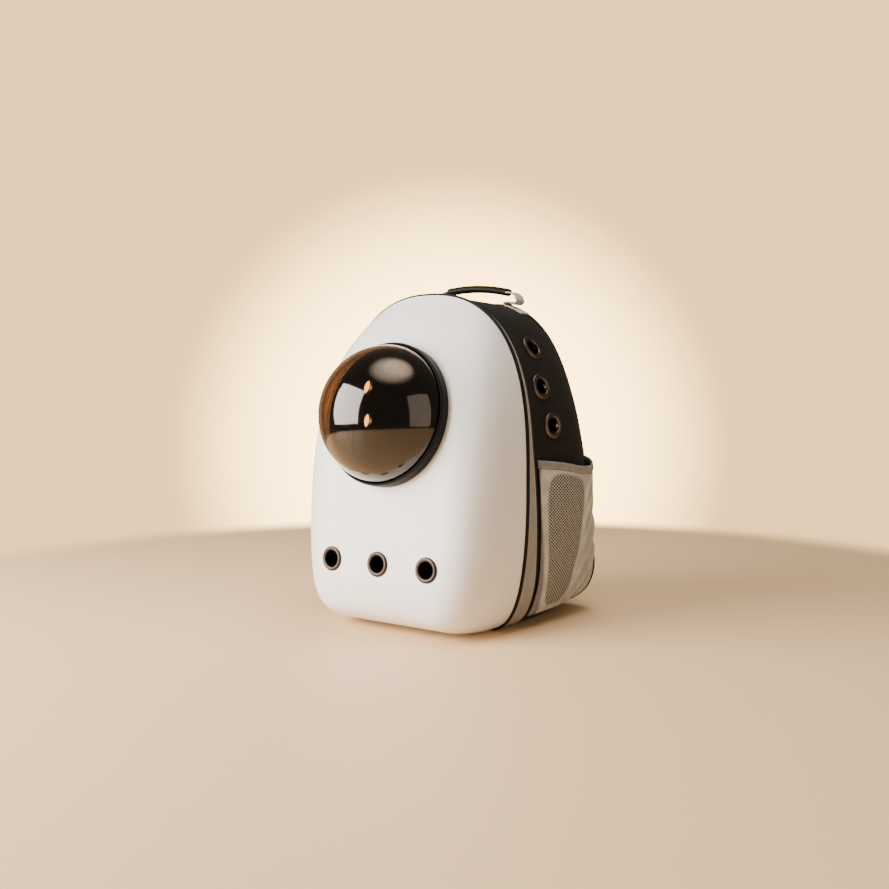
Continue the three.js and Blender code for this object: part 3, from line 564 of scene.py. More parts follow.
# Domed window: a clear acrylic cap, blown to a part of a sphere and tinted a smoky amber. Its
# edge is held between the ring's shoulder and lip.
arcs = 56
dome_rows = []
for radius, order in ((dome_radius, 1), (dome_radius - dome_wall, -1)):
    edge = math.acos((dome_seat + dome_sink) / radius)
    arc = []
    for i in range(1, arcs + 1):
        a = edge * i / arcs
        ring_points = [window_seat @ Vector((radius * math.sin(a) * math.cos(t),
                                             radius * math.sin(a) * math.sin(t),
                                             radius * math.cos(a) - dome_sink))
                       for t in turns(144, 0)]
        arc.append(ring_points)
    dome_rows += arc[::order]
dome = skin("window_dome", dome_rows, fans=(0, 1), crease=40)

finish = Finish("smoky_acrylic")
smoky = finish.surface({
    "Base Color": finish.mix(finish.cloud(80, 1), (0.32, 0.21, 0.115), (0.29, 0.19, 0.1)),
    "Roughness": 0.0, "Transmission Weight": 1.0, "IOR": 1.38,
    "Coat Weight": 0.6, "Coat IOR": 1.45, "Coat Roughness": 0.08,
})
dress(dome, smoky, "bubble", "dome", "bubble_window")

# Vents: dark metal eyelets, pressed from both sides through shell and cloth. The flange is
# rounded and follows the wall, and the barrel lines the hole.
eyelet_height, eyelet_tail = 2.4, 1


def eyelet(name, radius, seat, surface_at):
    outer_barrel = eyelet_bore + eyelet_barrel
    low, high = gap, eyelet_height
    tail = -(wall + eyelet_tail)
    crown = (radius + eyelet_bore) / 2
    half = (radius - eyelet_bore) / 2
    profile = [(eyelet_bore, tail), (outer_barrel, tail), (outer_barrel, low), (radius, low)]
    profile += [(crown + half * math.cos(math.radians(a)),
                 low + 0.35 + (high - low - 0.35) * math.sin(math.radians(a)))
                for a in range(0, 181, 15)]
    return turned(name, profile, seat, 64, surface_at, crease=50)


def metal(name, base, rough):
    made = Finish(name)
    tone = made.mix(made.cloud(9, 3), base, [0.72 * c for c in base])
    return made.surface({
        "Base Color": tone, "Metallic": 1.0, "Roughness": rough + 0.12 * made.cloud(3, 3),
    }, made.cloud(0.7, 2), 0.00003, 0.5)


dark_bronze = metal("dark_bronze", (0.056, 0.043, 0.035), 0.3)
gunmetal = metal("gunmetal", (0.15, 0.118, 0.1), 0.3)
for name, seat in zip(("left", "middle", "right"), front_vents):
    dress(eyelet(f"front_vent_{name}", 15.5, seat, on_shell), dark_bronze, "carrier",
          "eyelet_dark", f"front_eyelet_{name}")


def side_point(z, depth):
    """The soft body's skin on the right, by height and depth."""
    half, widest, top, corner = section_at(depth / back_depth(z), z)
    above = z >= widest
    across, upright = (crown_shoulder, crown_round) if above else (corner, base_round)
    reach = top - widest if above else widest + base_sink
    rise = min(abs(z - widest) / reach, 1)
    return Vector((half * (1 - rise**upright) ** (1 / across), depth, z))


def side_normal(z, depth):
    return -surface_normal(side_point, z, depth)


def mirrored(v):
    return Vector((-v.x, v.y, v.z))


def on_side(p):
    return mirrored(side_point(p.z, p.y)) if p.x < 0 else side_point(p.z, p.y)


side_vents = []
for place, height, share in (("top", 0.8395, 0.37), ("middle", 0.724, 0.3), ("low", 0.6087, 0.365)):
    z = height * bag_height
    depth = share * back_depth(z)
    point, outward = side_point(z, depth), side_normal(z, depth)
    side_vents.append((f"right_{place}", seat_at(point, outward)))
    side_vents.append((f"left_{place}", seat_at(mirrored(point), mirrored(outward))))
for name, seat in side_vents:
    dress(eyelet(f"side_vent_{name}", 16.5, seat, on_side), gunmetal, "carrier", "eyelet",
          f"side_eyelet_{name}")

# Piping: cord covered in black cloth and sewn into the seams round the shell's edge and the back
# panel. Inside, the rear seam is bound with the same cloth, which closes it to the light.
piping_radius = 2.8
piping_depth = piping_radius + gap


def tube(name, centres, radius, sides=12, closed=True, floor=None):
    """A round cord through its centres, which lie in a plane that faces the front."""
    rows = []
    count = len(centres)
    for i, centre in enumerate(centres):
        if closed:
            along = centres[(i + 1) % count] - centres[i - 1]
        else:
            along = centres[min(i + 1, count - 1)] - centres[max(i - 1, 0)]
        along.normalize()
        outward = Vector((0, -1, 0)).cross(along).normalized()
        rearward = along.cross(outward)
        row = [centre + radius * (outward * math.cos(a) + rearward * math.sin(a))
               for a in turns(sides, 0)]
        if floor is not None:
            for p in row:
                p.z = max(p.z, floor)
        rows.append(row)
    return skin(name, rows, joined=closed, fans=() if closed else (0, 1), crease=60)


def piping(name, section, depth_at, inset=0.0):
    centres = []
    for a in turns(260):
        x, z = outline_point(section, a, inset)
        z = max(z, piping_radius + inset)
        centres.append(Vector((x, depth_at(z), z)))
    return tube(name, centres, piping_radius, floor=0)


def cloth(name, dark, light, pitch, depth=0.00012, rough=0.85, sheen=0.03, patch=25):
    """Plain woven cloth: threads over and under at the given pitch, with slight wear."""
    made = Finish(name)
    u, v = made.across()
    threads = made.wave(u, pitch) * made.wave(v, pitch)
    worn = made.cloud(patch, 4, 0.6)
    tone = made.ramp(threads * 0.35 + worn, 0.1, 0.95)
    return made.surface({
        "Base Color": made.mix(tone, dark, light), "Roughness": rough + 0.08 * worn,
        "Sheen Weight": sheen, "Sheen Roughness": 0.5, "Specular IOR Level": 0.2,
    }, threads * 0.5 + made.cloud(0.9, 1) * 0.6, depth)


black_cord = cloth("black_piping", (0.002, 0.0018, 0.0015), (0.008, 0.007, 0.006), 1.1, rough=0.6)
dress(piping("front_piping", seam_section, lambda z: piping_depth), black_cord, "carrier",
      "piping", "shell_piping")
dress(piping("rear_piping", back_section, back_depth), black_cord, "carrier", "piping",
      "back_piping")
binding_depth, binding_inset = 2.6, 3.6
seam_binding = piping("inner_seam_binding", back_section, lambda z: back_depth(z) - binding_depth,
                      binding_inset)
dress(seam_binding, black_cord, "carrier", "piping")

# Trim band: a pale grey woven tape behind the piping, wide at the base and narrow at the crown.
# Its herringbone weave is fine, and both edges are turned and stand a little proud.
band_widths = [(0, 1), (0.16, 0.96), (0.255, 0.79), (0.32, 0.7), (0.43, 0.56), (0.5, 0.43),
               (0.56, 0.32), (0.8, 0.23), (1, 0.21)]
band_width, zip_width = 28, 3
stack_start = piping_depth + piping_radius + gap


def band_end(z):
    return stack_start + band_width * read_table(band_widths, z / bag_height)


def zip_start(z):
    return band_end(z) + gap


def zip_end(z):
    return zip_start(z) + zip_width


def gusset_start(z):
    return zip_end(z) + gap


def gusset_end(z):
    return back_depth(z) - piping_radius - 1.2


def body_point(angle, depth, inset=0.0):
    z = outline_point(seam_section, angle)[1]
    for _ in range(4):
        z = outline_point(section_at(depth / back_depth(z), z), angle)[1]
    x, z = outline_point(section_at(depth / back_depth(z), z), angle, inset)
    return Vector((x, depth, z))


def body_wall(name, start, end, depths, rear_end=False, lift=None, thickness=wall, count=240):
    """A wall of the soft body between two depths: outer skin, then the inner one back."""
    outer_rows = [[] for _ in depths]
    inner_rows = [[] for _ in depths]
    for a in turns(count):
        z_seam = outline_point(seam_section, a)[1]
        z_back = outline_point(back_section, a)[1]
        low, high = start(z_seam), end(z_back if rear_end else z_seam)
        for i, share in enumerate(depths):
            depth = lerp(low, high, share)
            raised = lift(share, a) if lift else 0
            outer_rows[i].append(body_point(a, depth, -raised))
            inner_rows[i].append(body_point(a, depth, thickness))
    return skin(name, outer_rows + inner_rows[::-1], joined=True, crease=50)


def raised_edges(share, angle):
    edge = min(share, 1 - share)
    return 0.55 * math.exp(-((edge - 0.1) / 0.09) ** 2)


band = body_wall("woven_band", lambda z: stack_start - 0.8, lambda z: band_end(z) + 0.2,
                 [0, 0.04, 0.08, 0.12, 0.18, 0.26, 0.5, 0.74, 0.82, 0.88, 0.92, 0.96, 1],
                 lift=raised_edges)
finish = Finish("pale_herringbone")
u, v = finish.across()
slant = finish.maths("PINGPONG", v, 1.6)
twill = finish.wave(u + slant, 1.5)
soil = finish.cloud(18, 4, 0.6)
tone = finish.ramp(twill * 0.3 + soil, 0.1, 0.9)
pale_band = finish.surface({
    "Base Color": finish.mix(tone, (0.182, 0.176, 0.166), (0.33, 0.321, 0.305)), "Roughness": 0.8,
    "Sheen Weight": 0.08, "Sheen Roughness": 0.4,
}, twill * 0.6 + finish.cloud(0.8, 1) * 0.5, 0.00016)
dress(band, pale_band, "carrier", "band", "trim_band")

# Main zip: a black coil zip on woven tape between the trim band and the cloth body, which opens
# the shell like a lid. Its coil shows as a row of fine teeth.
tape = body_wall("zip_tape", lambda z: zip_start(z) - 1, lambda z: zip_end(z) + 1,
                 [0, 0.3, 0.7, 1], lift=lambda s, a: -0.5)
black_tape = cloth("zip_cloth", (0.002, 0.002, 0.0018), (0.007, 0.0065, 0.006), 0.8)
dress(tape, black_tape, "carrier", "zip_tape", "main_zip")


def arc_points(point_at, pitch, count=900):
    """Evenly spaced stations along a closed line."""
    line = [point_at(a) for a in turns(count)]
    stations, carried = [], 0.0
    for i in range(count):
        a, b = line[i], line[(i + 1) % count]
        length = (b - a).length
        while carried < length:
            at = a.lerp(b, carried / length)
            stations.append((at, (b - a).normalized()))
            carried += pitch
        carried -= length
    return stations


def blocks(name, frames, size, material, body, slot):
    """Many small rounded blocks as one mesh, each with its own place and directions."""
    vertices, faces = [], []
    ring = [(1, 0), (0.7, 0.7), (0, 1), (-0.7, 0.7), (-1, 0), (-0.7, -0.7), (0, -1), (0.7, -0.7)]
    for centre, along, across, outward in frames:
        base = len(vertices)
        for end, shrink in ((-1, 0.55), (-0.75, 1), (0.75, 1), (1, 0.55)):
            for c, s in ring:
                p = (centre + along * (size[0] / 2 * end) + across * (size[1] / 2 * c * shrink)
                     + outward * (size[2] / 2 * s * shrink))
                vertices.append((p.x / 1000, (p.y - origin_depth) / 1000, p.z / 1000))
        for row in range(3):
            for i in range(8):
                j = (i + 1) % 8
                faces.append([base + row * 8 + i, base + row * 8 + j,
                              base + row * 8 + 8 + j, base + row * 8 + 8 + i])
        faces.append([base + i for i in reversed(range(8))])
        faces.append([base + 24 + i for i in range(8)])
    mesh = bpy.data.meshes.new(name)
    mesh.from_pydata(vertices, [], faces)
    thing = piece_from(name, mesh, 60)
    dress(thing, material, body, slot)
    return thing


def zip_line(a):
    z = outline_point(seam_section, a)[1]
    return body_point(a, (zip_start(z) + zip_end(z)) / 2, -0.1)


teeth = []
for at, along in arc_points(zip_line, 1.9):
    outward = Vector((0, -1, 0)).cross(along).normalized()
    centre = Vector((at.x, at.y, max(at.z, 0.8)))
    teeth.append((centre, Vector((0, 1, 0)), along, outward))
black_coil = Finish("black_coil")
black_coil = black_coil.surface({
    "Base Color": black_coil.mix(black_coil.cloud(3, 2), (0.008, 0.008, 0.008),
                                 (0.02, 0.019, 0.018)), "Roughness": 0.35,
}, black_coil.cloud(0.4, 1), 0.00003)
blocks("zip_coil", teeth, (2.4, 1.1, 1.3), black_coil, "carrier", "zip_tape")

# Zip slider: cast dark metal, parked on the left side below the window's level, with a flat pull
# that lies down along the zip.
slider_height = 230
slider_length, slider_width, slider_thickness = 22, 9, 4
slider_depth = (zip_start(slider_height) + zip_end(slider_height)) / 2
slider_out = mirrored(side_normal(slider_height, slider_depth))
slider_back = (Vector((0, 1, 0)) - slider_out * slider_out.y).normalized()
slider_up = slider_out.cross(slider_back)
slider_at = mirrored(side_point(slider_height, slider_depth)) + slider_out * (gap + 0.4)
slider_plan = [(-0.5, -0.25), (-0.3, -0.5), (0.3, -0.5), (0.5, -0.25), (0.3, 0.5), (-0.3, 0.5)]


def plate(name, plan, low, high, at, across, along, outward, bevel):
    """A flat cast or moulded piece from its plan, with rounded edges."""
    rows = []
    for h, inset in ((low, bevel), (low + bevel, 0), (high - bevel, 0), (high, bevel)):
        row = []
        for x, y in plan:
            length = math.hypot(x, y)
            x, y = x * (1 - inset / length), y * (1 - inset / length)
            row.append(at + across * x + along * y + outward * h)
        rows.append(row)
    return skin(name, rows, fans=(0, 1), crease=25)


slider_body = plate("zip_slider_body",
                    [(x * slider_width, y * slider_length) for x, y in slider_plan],
                    0, slider_thickness * 0.75, slider_at, slider_back, slider_up, slider_out, 0.7)
dress(slider_body, gunmetal, "carrier", "zip_metal", "zip_slider")
pull_plan = [(-2.6, -19), (2.6, -19), (3.1, -16), (2.4, -4), (1.6, 1), (-1.6, 1), (-2.4, -4),
             (-3.1, -16)]
pull = plate("zip_pull", pull_plan, slider_thickness * 0.8, slider_thickness + 0.6, slider_at,
             slider_back, slider_up, slider_out, 0.4)
dress(pull, gunmetal, "carrier", "zip_metal")

# Gusset: the soft half of the body, black woven cloth over thin padding, sewn between the zip
# and the back. The seams pull shallow puckers into it, and the padded sides swell outward.
random.seed(11)
gusset_tuck = 2.2
pucker = [(random.uniform(0.6, 1.4), random.uniform(0, 2 * math.pi)) for _ in range(3)]


def puckered(share, angle):
    near = math.exp(-share / 0.05) + math.exp(-(1 - share) / 0.05)
    ripple = sum(math.sin(angle * rate * 37 + phase) for rate, phase in pucker) / 3
    rest = -0.4 * (1 - math.exp(-share / 0.03)) * math.exp(-share / 0.25)
    return 0.3 * near * ripple + rest * 0.5


gusset_shares = [0, 0.015, 0.035, 0.06, 0.1, 0.16] + [0.16 + 0.68 * i / 14 for i in range(1, 15)]
gusset_shares += [0.9, 0.94, 0.965, 0.985, 1]
gusset = body_wall("cloth_gusset", gusset_start, lambda z: gusset_end(z) + gusset_tuck, gusset_shares,
                   rear_end=True, lift=puckered, count=240)
cut(gusset, [drill(eyelet_bore + eyelet_barrel + gap, 10, seat) for _, seat in side_vents])
gusset.data.shade_smooth()
gusset.data.set_sharp_from_angle(angle=math.radians(50))
black_weave = cloth("black_weave", (0.0022, 0.002, 0.0017), (0.0085, 0.0075, 0.006), 1.25,
                    depth=0.00016, rough=0.72, patch=40)
dress(gusset, black_weave, "carrier", "gusset", "gusset_panel")

# Back panel: black spacer mesh over foam, quilted in channels and sewn inside the rear piping.
# The foam swells between the sewn lines, and a low air channel runs down its middle.
panel_inset = piping_radius + 2 * gap
panel_thickness, panel_rise, panel_tuck = 8, 7, 1.6
panel_floor = 2 * piping_radius + 2 * gap


def panel_rear(x, z):
    share = share_out(back_section, x, z, panel_inset)[0]
    return back_depth(z) + panel_thickness / 2 + panel_rise * (1 - share**2.5)


def settle(thing):
    """Applies a piece's modifiers to its mesh."""
    evaluated = thing.evaluated_get(bpy.context.evaluated_depsgraph_get())
    mesh = bpy.data.meshes.new_from_object(evaluated)
    thing.modifiers.clear()
    thing.data = mesh


def inflate(thing, sewn, cap, voxel=5.0, pressure=4.0):
    """Swells a padded piece by cloth simulation, held where it is sewn. No point moves further
    than the cap, in millimetres."""
    even = thing.modifiers.new("even", "REMESH")
    even.mode = "VOXEL"
    even.voxel_size = voxel / 1000
    settle(thing)
    held = thing.vertex_groups.new(name="sewn")
    for vertex in thing.data.vertices:
        p = vertex.co * 1000
        if sewn(Vector((p.x, p.y + origin_depth, p.z))):
            held.add([vertex.index], 1, "REPLACE")
    before = [vertex.co.copy() for vertex in thing.data.vertices]
    air = thing.modifiers.new("air", "CLOTH")
    air.settings.quality = 5
    air.settings.mass = 0.3
    air.settings.use_pressure = True
    air.settings.uniform_pressure_force = pressure
    air.settings.vertex_group_mass = "sewn"
    air.settings.effector_weights.gravity = 0
    air.collision_settings.use_collision = False
    for step in range(1, 21):
        bpy.context.scene.frame_set(step)
    evaluated = thing.evaluated_get(bpy.context.evaluated_depsgraph_get())
    after = [vertex.co.copy() for vertex in evaluated.data.vertices]
    thing.modifiers.clear()
    bpy.context.scene.frame_set(1)
    for vertex, start, end in zip(thing.data.vertices, before, after):
        move = end - start
        if move.length > cap / 1000:
            move *= cap / 1000 / move.length
        vertex.co = start + move
    smooth = thing.modifiers.new("smooth", "SMOOTH")
    smooth.factor = 0.5
    smooth.iterations = 2
    finer = thing.modifiers.new("finer", "SUBSURF")
    finer.levels = 1
    settle(thing)
    thing.data.shade_smooth()


channel_half, quilt_levels = 16, (92, 152, 212, 272, 332)


def panel_offset(share, x):
    dip = 2.5 * math.exp(-(x / (channel_half * 0.8)) ** 4)
    return panel_thickness / 2 + (panel_rise - 2.5) * (1 - share**2.5) - dip * (share < 0.97)


def panel_row(share, offset_at):
    row = []
    for a in turns(150):
        x, z = outline_point(back_section, a, panel_inset - panel_tuck, panel_floor - panel_tuck)
        x, z = x * share, lerp(back_widest, z, share)
        row.append(Vector((x, back_depth(z) + offset_at(share, x), z)))
    return row


panel_shares = [0.03, 0.1, 0.2, 0.3, 0.4, 0.5, 0.6, 0.7, 0.8, 0.88, 0.94, 0.98, 1]
rear_rows = [panel_row(s, panel_offset) for s in panel_shares]
front_rows = [panel_row(s, lambda share, x: -panel_thickness / 2) for s in reversed(panel_shares)]
panel = skin("padded_back", rear_rows + front_rows, fans=(0, 1))


def panel_sewn(p):
    if p.y < back_depth(p.z) + 1:
        return True
    share = share_out(back_section, p.x, p.z, panel_inset)[0]
    if share > 0.9 or abs(abs(p.x) - channel_half) < 2.6:
        return True
    return abs(p.x) > channel_half and any(abs(p.z - z) < 2.6 for z in quilt_levels)


inflate(panel, panel_sewn, 6)


def spacer(name, dark, light, pitch):
    """Knitted spacer mesh: rows of small round holes, by the place on the piece. The holes are painted darker
    than the yarn: painted shade in each hole.
    """
    made = Finish(name)
    split = made.node("ShaderNodeSeparateXYZ", 0, None, {0: made.place()})
    x = split * 1000
    z = Term(made, split.socket.node.outputs[2]) * 1000
    slant = 0.866 * z
    dots = (made.maths("COSINE", x * (2 * math.pi / pitch))
            + made.maths("COSINE", (0.5 * x + slant) * (2 * math.pi / pitch))
            + made.maths("COSINE", (0.5 * x - slant) * (2 * math.pi / pitch)))
    hole = made.ramp(dots, 0.3, 1.6)
    worn = made.cloud(30, 3)
    # The holes' near black colour is painted shade in the recess of each hole.
    return made.surface({
        "Base Color": made.mix(hole, made.mix(worn, dark, light), (0.002, 0.002, 0.002)),
        "Roughness": 0.9, "Specular IOR Level": 0.2,
    }, worn * 0.2 - hole, 0.0004)


black_spacer = spacer("black_spacer_mesh", (0.005, 0.0045, 0.004), (0.014, 0.0125, 0.011), 3.2)
dress(panel, black_spacer, "carrier", "padding", "back_panel")

# Side pockets: grey knitted mesh sewn into the front and rear seams and along the base, baggy
# towards its mouth. A smooth fold of the cloth frames a net of open diamonds.
pocket_wall, pocket_bottom, pocket_mouth, pocket_standoff = 1.6, 16, 216, 8.5
rim_height, rim_wall = 10, 3.2
pocket_bulge = [(0, 0), (0.08, 0.22), (0.3, 0.55), (0.6, 0.85), (0.85, 1), (0.95, 0.82), (1, 0)]
pocket_fill = [(0, 0), (0.08, 0.18), (0.35, 0.45), (0.7, 0.75), (1, 1)]
mouth_line = [(0, 0.99), (0.3, 0.97), (0.7, 0.935), (0.9, 0.945), (1, 0.985)]


def mouth_height(along):
    return pocket_mouth * read_table(mouth_line, along)


def rim_bottom(along):
    return mouth_height(along) - rim_height


def pocket_depth(along, z):
    return lerp(gusset_start(z) + 1, back_depth(z) - piping_radius - 1, along)


def pocket_point(along, z, lift):
    rise = (z - pocket_bottom) / (mouth_height(along) - pocket_bottom)
    depth = pocket_depth(along, z)
    bulge = read_table(pocket_bulge, along) * read_table(pocket_fill, rise)
    return side_point(z, depth) + side_normal(z, depth) * (
        gap + 0.3 + pocket_standoff * bulge + lift)


def sheet(name, outer_rows, inner_rows, crease=60):
    """A thin closed piece between two grids that meet along their side edges."""
    inner = [[outer[0]] + row[1:-1] + [outer[-1]] for outer, row in zip(outer_rows, inner_rows)]
    made = skin(name, outer_rows + inner[::-1], closed=False, joined=True, crease=crease)
    weld = bmesh.new()
    weld.from_mesh(made.data)
    bmesh.ops.remove_doubles(weld, verts=weld.verts, dist=1e-6)
    weld.to_mesh(made.data)
    weld.free()
    return made


def net_edge(along, rise):
    """How far out from the net's middle a place lies: the net ends where this is 1."""
    left, right = 0.14 - 0.07 * rise, 0.5 + 0.2 * rise
    across = (along - (left + right) / 2) / ((right - left) / 2)
    return (across**4 + ((rise - 0.5) / 0.46) ** 4) ** 0.25


def folds(along, rise):
    """Slack in the pocket's cloth: a roll round the net, and slanting folds at the lower back."""
    roll = 1.1 * math.exp(-((net_edge(along, rise) - 1.22) / 0.14) ** 2)
    slant = rise - (along - 0.5)
    near = math.exp(-((slant - 0.06) / 0.2) ** 2) * min(max((along - 0.4) / 0.2, 0), 1)
    rest = 0.5 * math.sin(11 * slant + 4 * along) * math.sin(math.pi * along)
    return roll - 3.0 * near * math.cos(2 * math.pi * (slant - 0.04) / 0.22) + 0.5 * rest


stations = [i / 56 for i in range(57)]
levels = [i / 44 for i in range(45)]


def pocket_rows(lift):
    rows = []
    for level in levels:
        row = []
        for along in stations:
            z = lerp(pocket_bottom, rim_bottom(along) - gap, level)
            room = min(along, 1 - along, level, 1 - level) / 0.05
            slack = folds(along, level) * min(room, 1)
            row.append(pocket_point(along, z, lift + max(slack, -1.2 * along)))
        rows.append(row)
    return rows


outer_rows, inner_rows = pocket_rows(pocket_wall), pocket_rows(0)
finish = Finish("grey_knit")
u, v = finish.across()
share_along, share_up = finish.shares()
share_up = share_up * 2
worn = finish.cloud(22, 4, 0.6)
left = 0.14 - 0.07 * share_up
right = 0.5 + 0.2 * share_up
across = (share_along - (left + right) * 0.5) / ((right - left) * 0.5)
edge = finish.maths("POWER", finish.maths("ABSOLUTE", across), 4) + finish.maths(
    "POWER", finish.maths("ABSOLUTE", (share_up - 0.5) / 0.46), 4)
window = 1 - finish.ramp(edge, 0.85, 1.1)
roll = 1 - finish.ramp(edge, 2.3, 3.4)
first = finish.maths("PINGPONG", u / 5.6 + v / 4.4, 0.5)
second = finish.maths("PINGPONG", u / 5.6 - v / 4.4, 0.5)
open_net = finish.ramp(finish.maths("MINIMUM", first, second), 0.085, 0.13)
fine_knit = finish.wave(u, 1.9) * finish.wave(v, 1.7)
# Slanting creases at the lower back: a wave that dents the bump, and that also shifts the smooth cloth's
# colour lighter and darker across each fold, which is painted shade of the folds.
crease = finish.wave(share_up - share_along * 0.9, 0.19) * finish.ramp(share_along, 0.55, 0.75)
smooth_tone_with_painted_fold_shade = finish.mix(finish.ramp(worn + fine_knit * 0.12 + crease * 0.22, 0.2, 0.9), (0.33, 0.323, 0.308),
                         (0.6, 0.588, 0.565))
mesh_tone = finish.mix(finish.ramp(worn + fine_knit * 0.5, 0.2, 0.8), (0.07, 0.067, 0.062),
                       (0.26, 0.252, 0.238))
net_tone = finish.mix(open_net, (0.54, 0.525, 0.49), (0.008, 0.007, 0.006))
plain_back = finish.maths("MAXIMUM", roll, finish.ramp(share_along, 0.5, 0.6))
tone = finish.mix(plain_back, mesh_tone, smooth_tone_with_painted_fold_shade)
grey_knit = finish.surface({
    "Base Color": finish.mix(window, tone, net_tone), "Roughness": 0.85,
    "Sheen Weight": 0.08, "Sheen Roughness": 0.5,
}, (1 - open_net) * window + (fine_knit * 0.25 + crease * 3) * (1 - window), 0.0005)

finish = Finish("grey_binding")
u, v = finish.across()
ribs = finish.wave(u, 1.4) * 0.6 + finish.wave(v, 1.1) * 0.5
worn = finish.cloud(15, 4, 0.6)
grey_binding = finish.surface({
    "Base Color": finish.mix(finish.ramp(worn + ribs * 0.15, 0.2, 0.8), (0.168, 0.162, 0.152),
                             (0.248, 0.241, 0.228)), "Roughness": 0.75,
    "Sheen Weight": 0.05,
}, ribs, 0.0001)


def rim_row(along, flip):
    """One section of the pocket's bound rim, rounded over its top."""
    low, high = rim_bottom(along), mouth_height(along)
    thick = rim_wall * (1 if 0.01 < along < 0.99 else 0.4)
    middle = pocket_wall / 2
    row = []
    for a in turns(20, 0):
        c, s = math.cos(a), math.sin(a)
        z = (low + high) / 2 + math.copysign(abs(s) ** 0.55, s) * (high - low) / 2
        p = pocket_point(along, z, middle + math.copysign(abs(c) ** 0.7, c) * thick / 2)
        row.append(mirrored(p) if flip else p)
    return row


for side, flip in (("right", False), ("left", True)):
    grids = [[[mirrored(p) if flip else p for p in row] for row in grid]
             for grid in (outer_rows, inner_rows)]
    pocket = sheet(f"mesh_pocket_{side}", *grids)
    dress(pocket, grey_knit, "carrier", "mesh", f"side_pocket_{side}")
    rim = skin(f"pocket_binding_{side}", [rim_row(a, flip) for a in stations], fans=(0, 1),
               crease=60)
    dress(rim, grey_binding, "carrier", "binding", f"pocket_rim_{side}")

# Carrying handle: webbing sewn to the crown, folded up in a small loop and drawn through a
# soft black sleeve.
handle_depth, handle_rise = 111, 11.5
grip_length, grip_shift, grip_width, grip_thickness = 96, 3.7, 16, 10
grip_rise, grip_droop, fold_drop = 4.3, 5.3, 22
web_width, web_thickness, tab_length, tab_lift = 20, 2, 25, 2.2
loop_lift, loop_reach = 9, 2.5


def curve_through(points, per_span):
    """A smooth line through the points: its stations and the direction at each."""
    ends = [2 * points[0] - points[1]] + list(points) + [2 * points[-1] - points[-2]]
    stations = []
    for i in range(len(points) - 1):
        p0, p1, p2, p3 = ends[i:i + 4]
        d0, d1, d2 = [math.sqrt((b - a).length) for a, b in ((p0, p1), (p1, p2), (p2, p3))]
        t1 = ((p1 - p0) / d0 - (p2 - p0) / (d0 + d1) + (p2 - p1) / d1) * d1
        t2 = ((p2 - p1) / d1 - (p3 - p1) / (d1 + d2) + (p3 - p2) / d2) * d1
        last = i == len(points) - 2
        for k in range(per_span + last):
            t = k / per_span
            place = p1 + t1 * t + (3 * (p2 - p1) - 2 * t1 - t2) * t**2 + (
                2 * (p1 - p2) + t1 + t2) * t**3
            along = t1 + (3 * (p2 - p1) - 2 * t1 - t2) * 2 * t + (
                2 * (p1 - p2) + t1 + t2) * 3 * t**2
            stations.append((place, along.normalized()))
    return stations


def ribbon_frames(points, widthwise, per_span):
    frames = []
    for place, along in curve_through(points, per_span):
        across = (widthwise - along * along.dot(widthwise)).normalized()
        frames.append((place, along, across, across.cross(along)))
    return frames


def ribbon(name, points, widthwise, section_at_share, per_span=6, crease=40):
    """A strap: its section, which may change with the share of its length, along a line."""
    frames = ribbon_frames(points, widthwise, per_span)
    rows = []
    for i, (place, along, across, proud) in enumerate(frames):
        rows.append([place + across * u + proud * v
                     for u, v in section_at_share(i / (len(frames) - 1))])
    return skin(name, rows, fans=(0, 1), crease=crease)


def webbing_section(width, thickness):
    """A woven strap's section: flat, with rounded selvedges that are a little thinner."""
    half = width / 2
    top = [(half * u, thickness / 2 * v) for u, v in (
        (1, 0.15), (0.985, 0.7), (0.94, 0.92), (0.8, 1), (0.5, 1), (0.2, 1))]
    upper = top + [(-u, v) for u, v in reversed(top)]
    return upper + [(u, -v) for u, v in reversed(upper)]


def top_height(x, depth):
    half, widest, top, corner = section_at(depth / back_depth(back_height), back_height)
    share = min(abs(x) / half, 1)
    return widest + (top - widest) * (1 - share**crown_shoulder) ** (1 / crown_round)


def grip_height(x):
    return (bag_height + handle_rise + grip_rise * (1 - (2 * x / grip_length) ** 2)
            - grip_droop * x / grip_length)


def grip_section(share):
    end = min(share, 1 - share)
    size = 1 - 0.22 * math.exp(-end / 0.012)
    return [(grip_width / 2 * size * math.cos(a), grip_thickness / 2 * size * math.sin(a))
            for a in turns(28)]


grip_line = [Vector((share * grip_length + grip_shift, handle_depth,
                     grip_height(share * grip_length)))
             for share in (-0.5, -0.49, -0.3, -0.1, 0.1, 0.3, 0.49, 0.5)]
backward = Vector((0, 1, 0))
grip = ribbon("grip_sleeve", grip_line, backward, grip_section, 8, 50)
finish = Finish("soft_black_sleeve")
creases = finish.cloud(9, 4, 0.6)
grain = finish.cloud(0.8, 2)
sleeve = finish.surface({
    "Base Color": finish.mix(creases, (0.003, 0.0028, 0.0025), (0.008, 0.0072, 0.0064)),
    "Roughness": 0.42 + 0.15 * creases, "Specular IOR Level": 0.13,
}, creases * 0.8 + grain * 0.3, 0.0004)
dress(grip, sleeve, "carrier", "grip", "handle_grip")


def webbing(name, dark, light, rough=0.75):
    """Woven strap: columns of slanting threads along its length."""
    made = Finish(name)
    u, v = made.across()
    slant = made.maths("PINGPONG", u, 1.15)
    threads = made.wave(v + slant, 1.3) * 0.5 + made.wave(u, 1.15) * 0.3
    worn = made.cloud(14, 4, 0.6)
    return made.surface({
        "Base Color": made.mix(made.ramp(threads * 0.3 + worn, 0.1, 0.9), dark, light),
        "Roughness": rough, "Sheen Weight": 0.2,
    }, threads, 0.0002)


pale_webbing = webbing("pale_webbing", (0.38, 0.35, 0.31), (0.6, 0.565, 0.51))
black_webbing = webbing("black_webbing", (0.0025, 0.0023, 0.002), (0.011, 0.01, 0.009), 0.6)


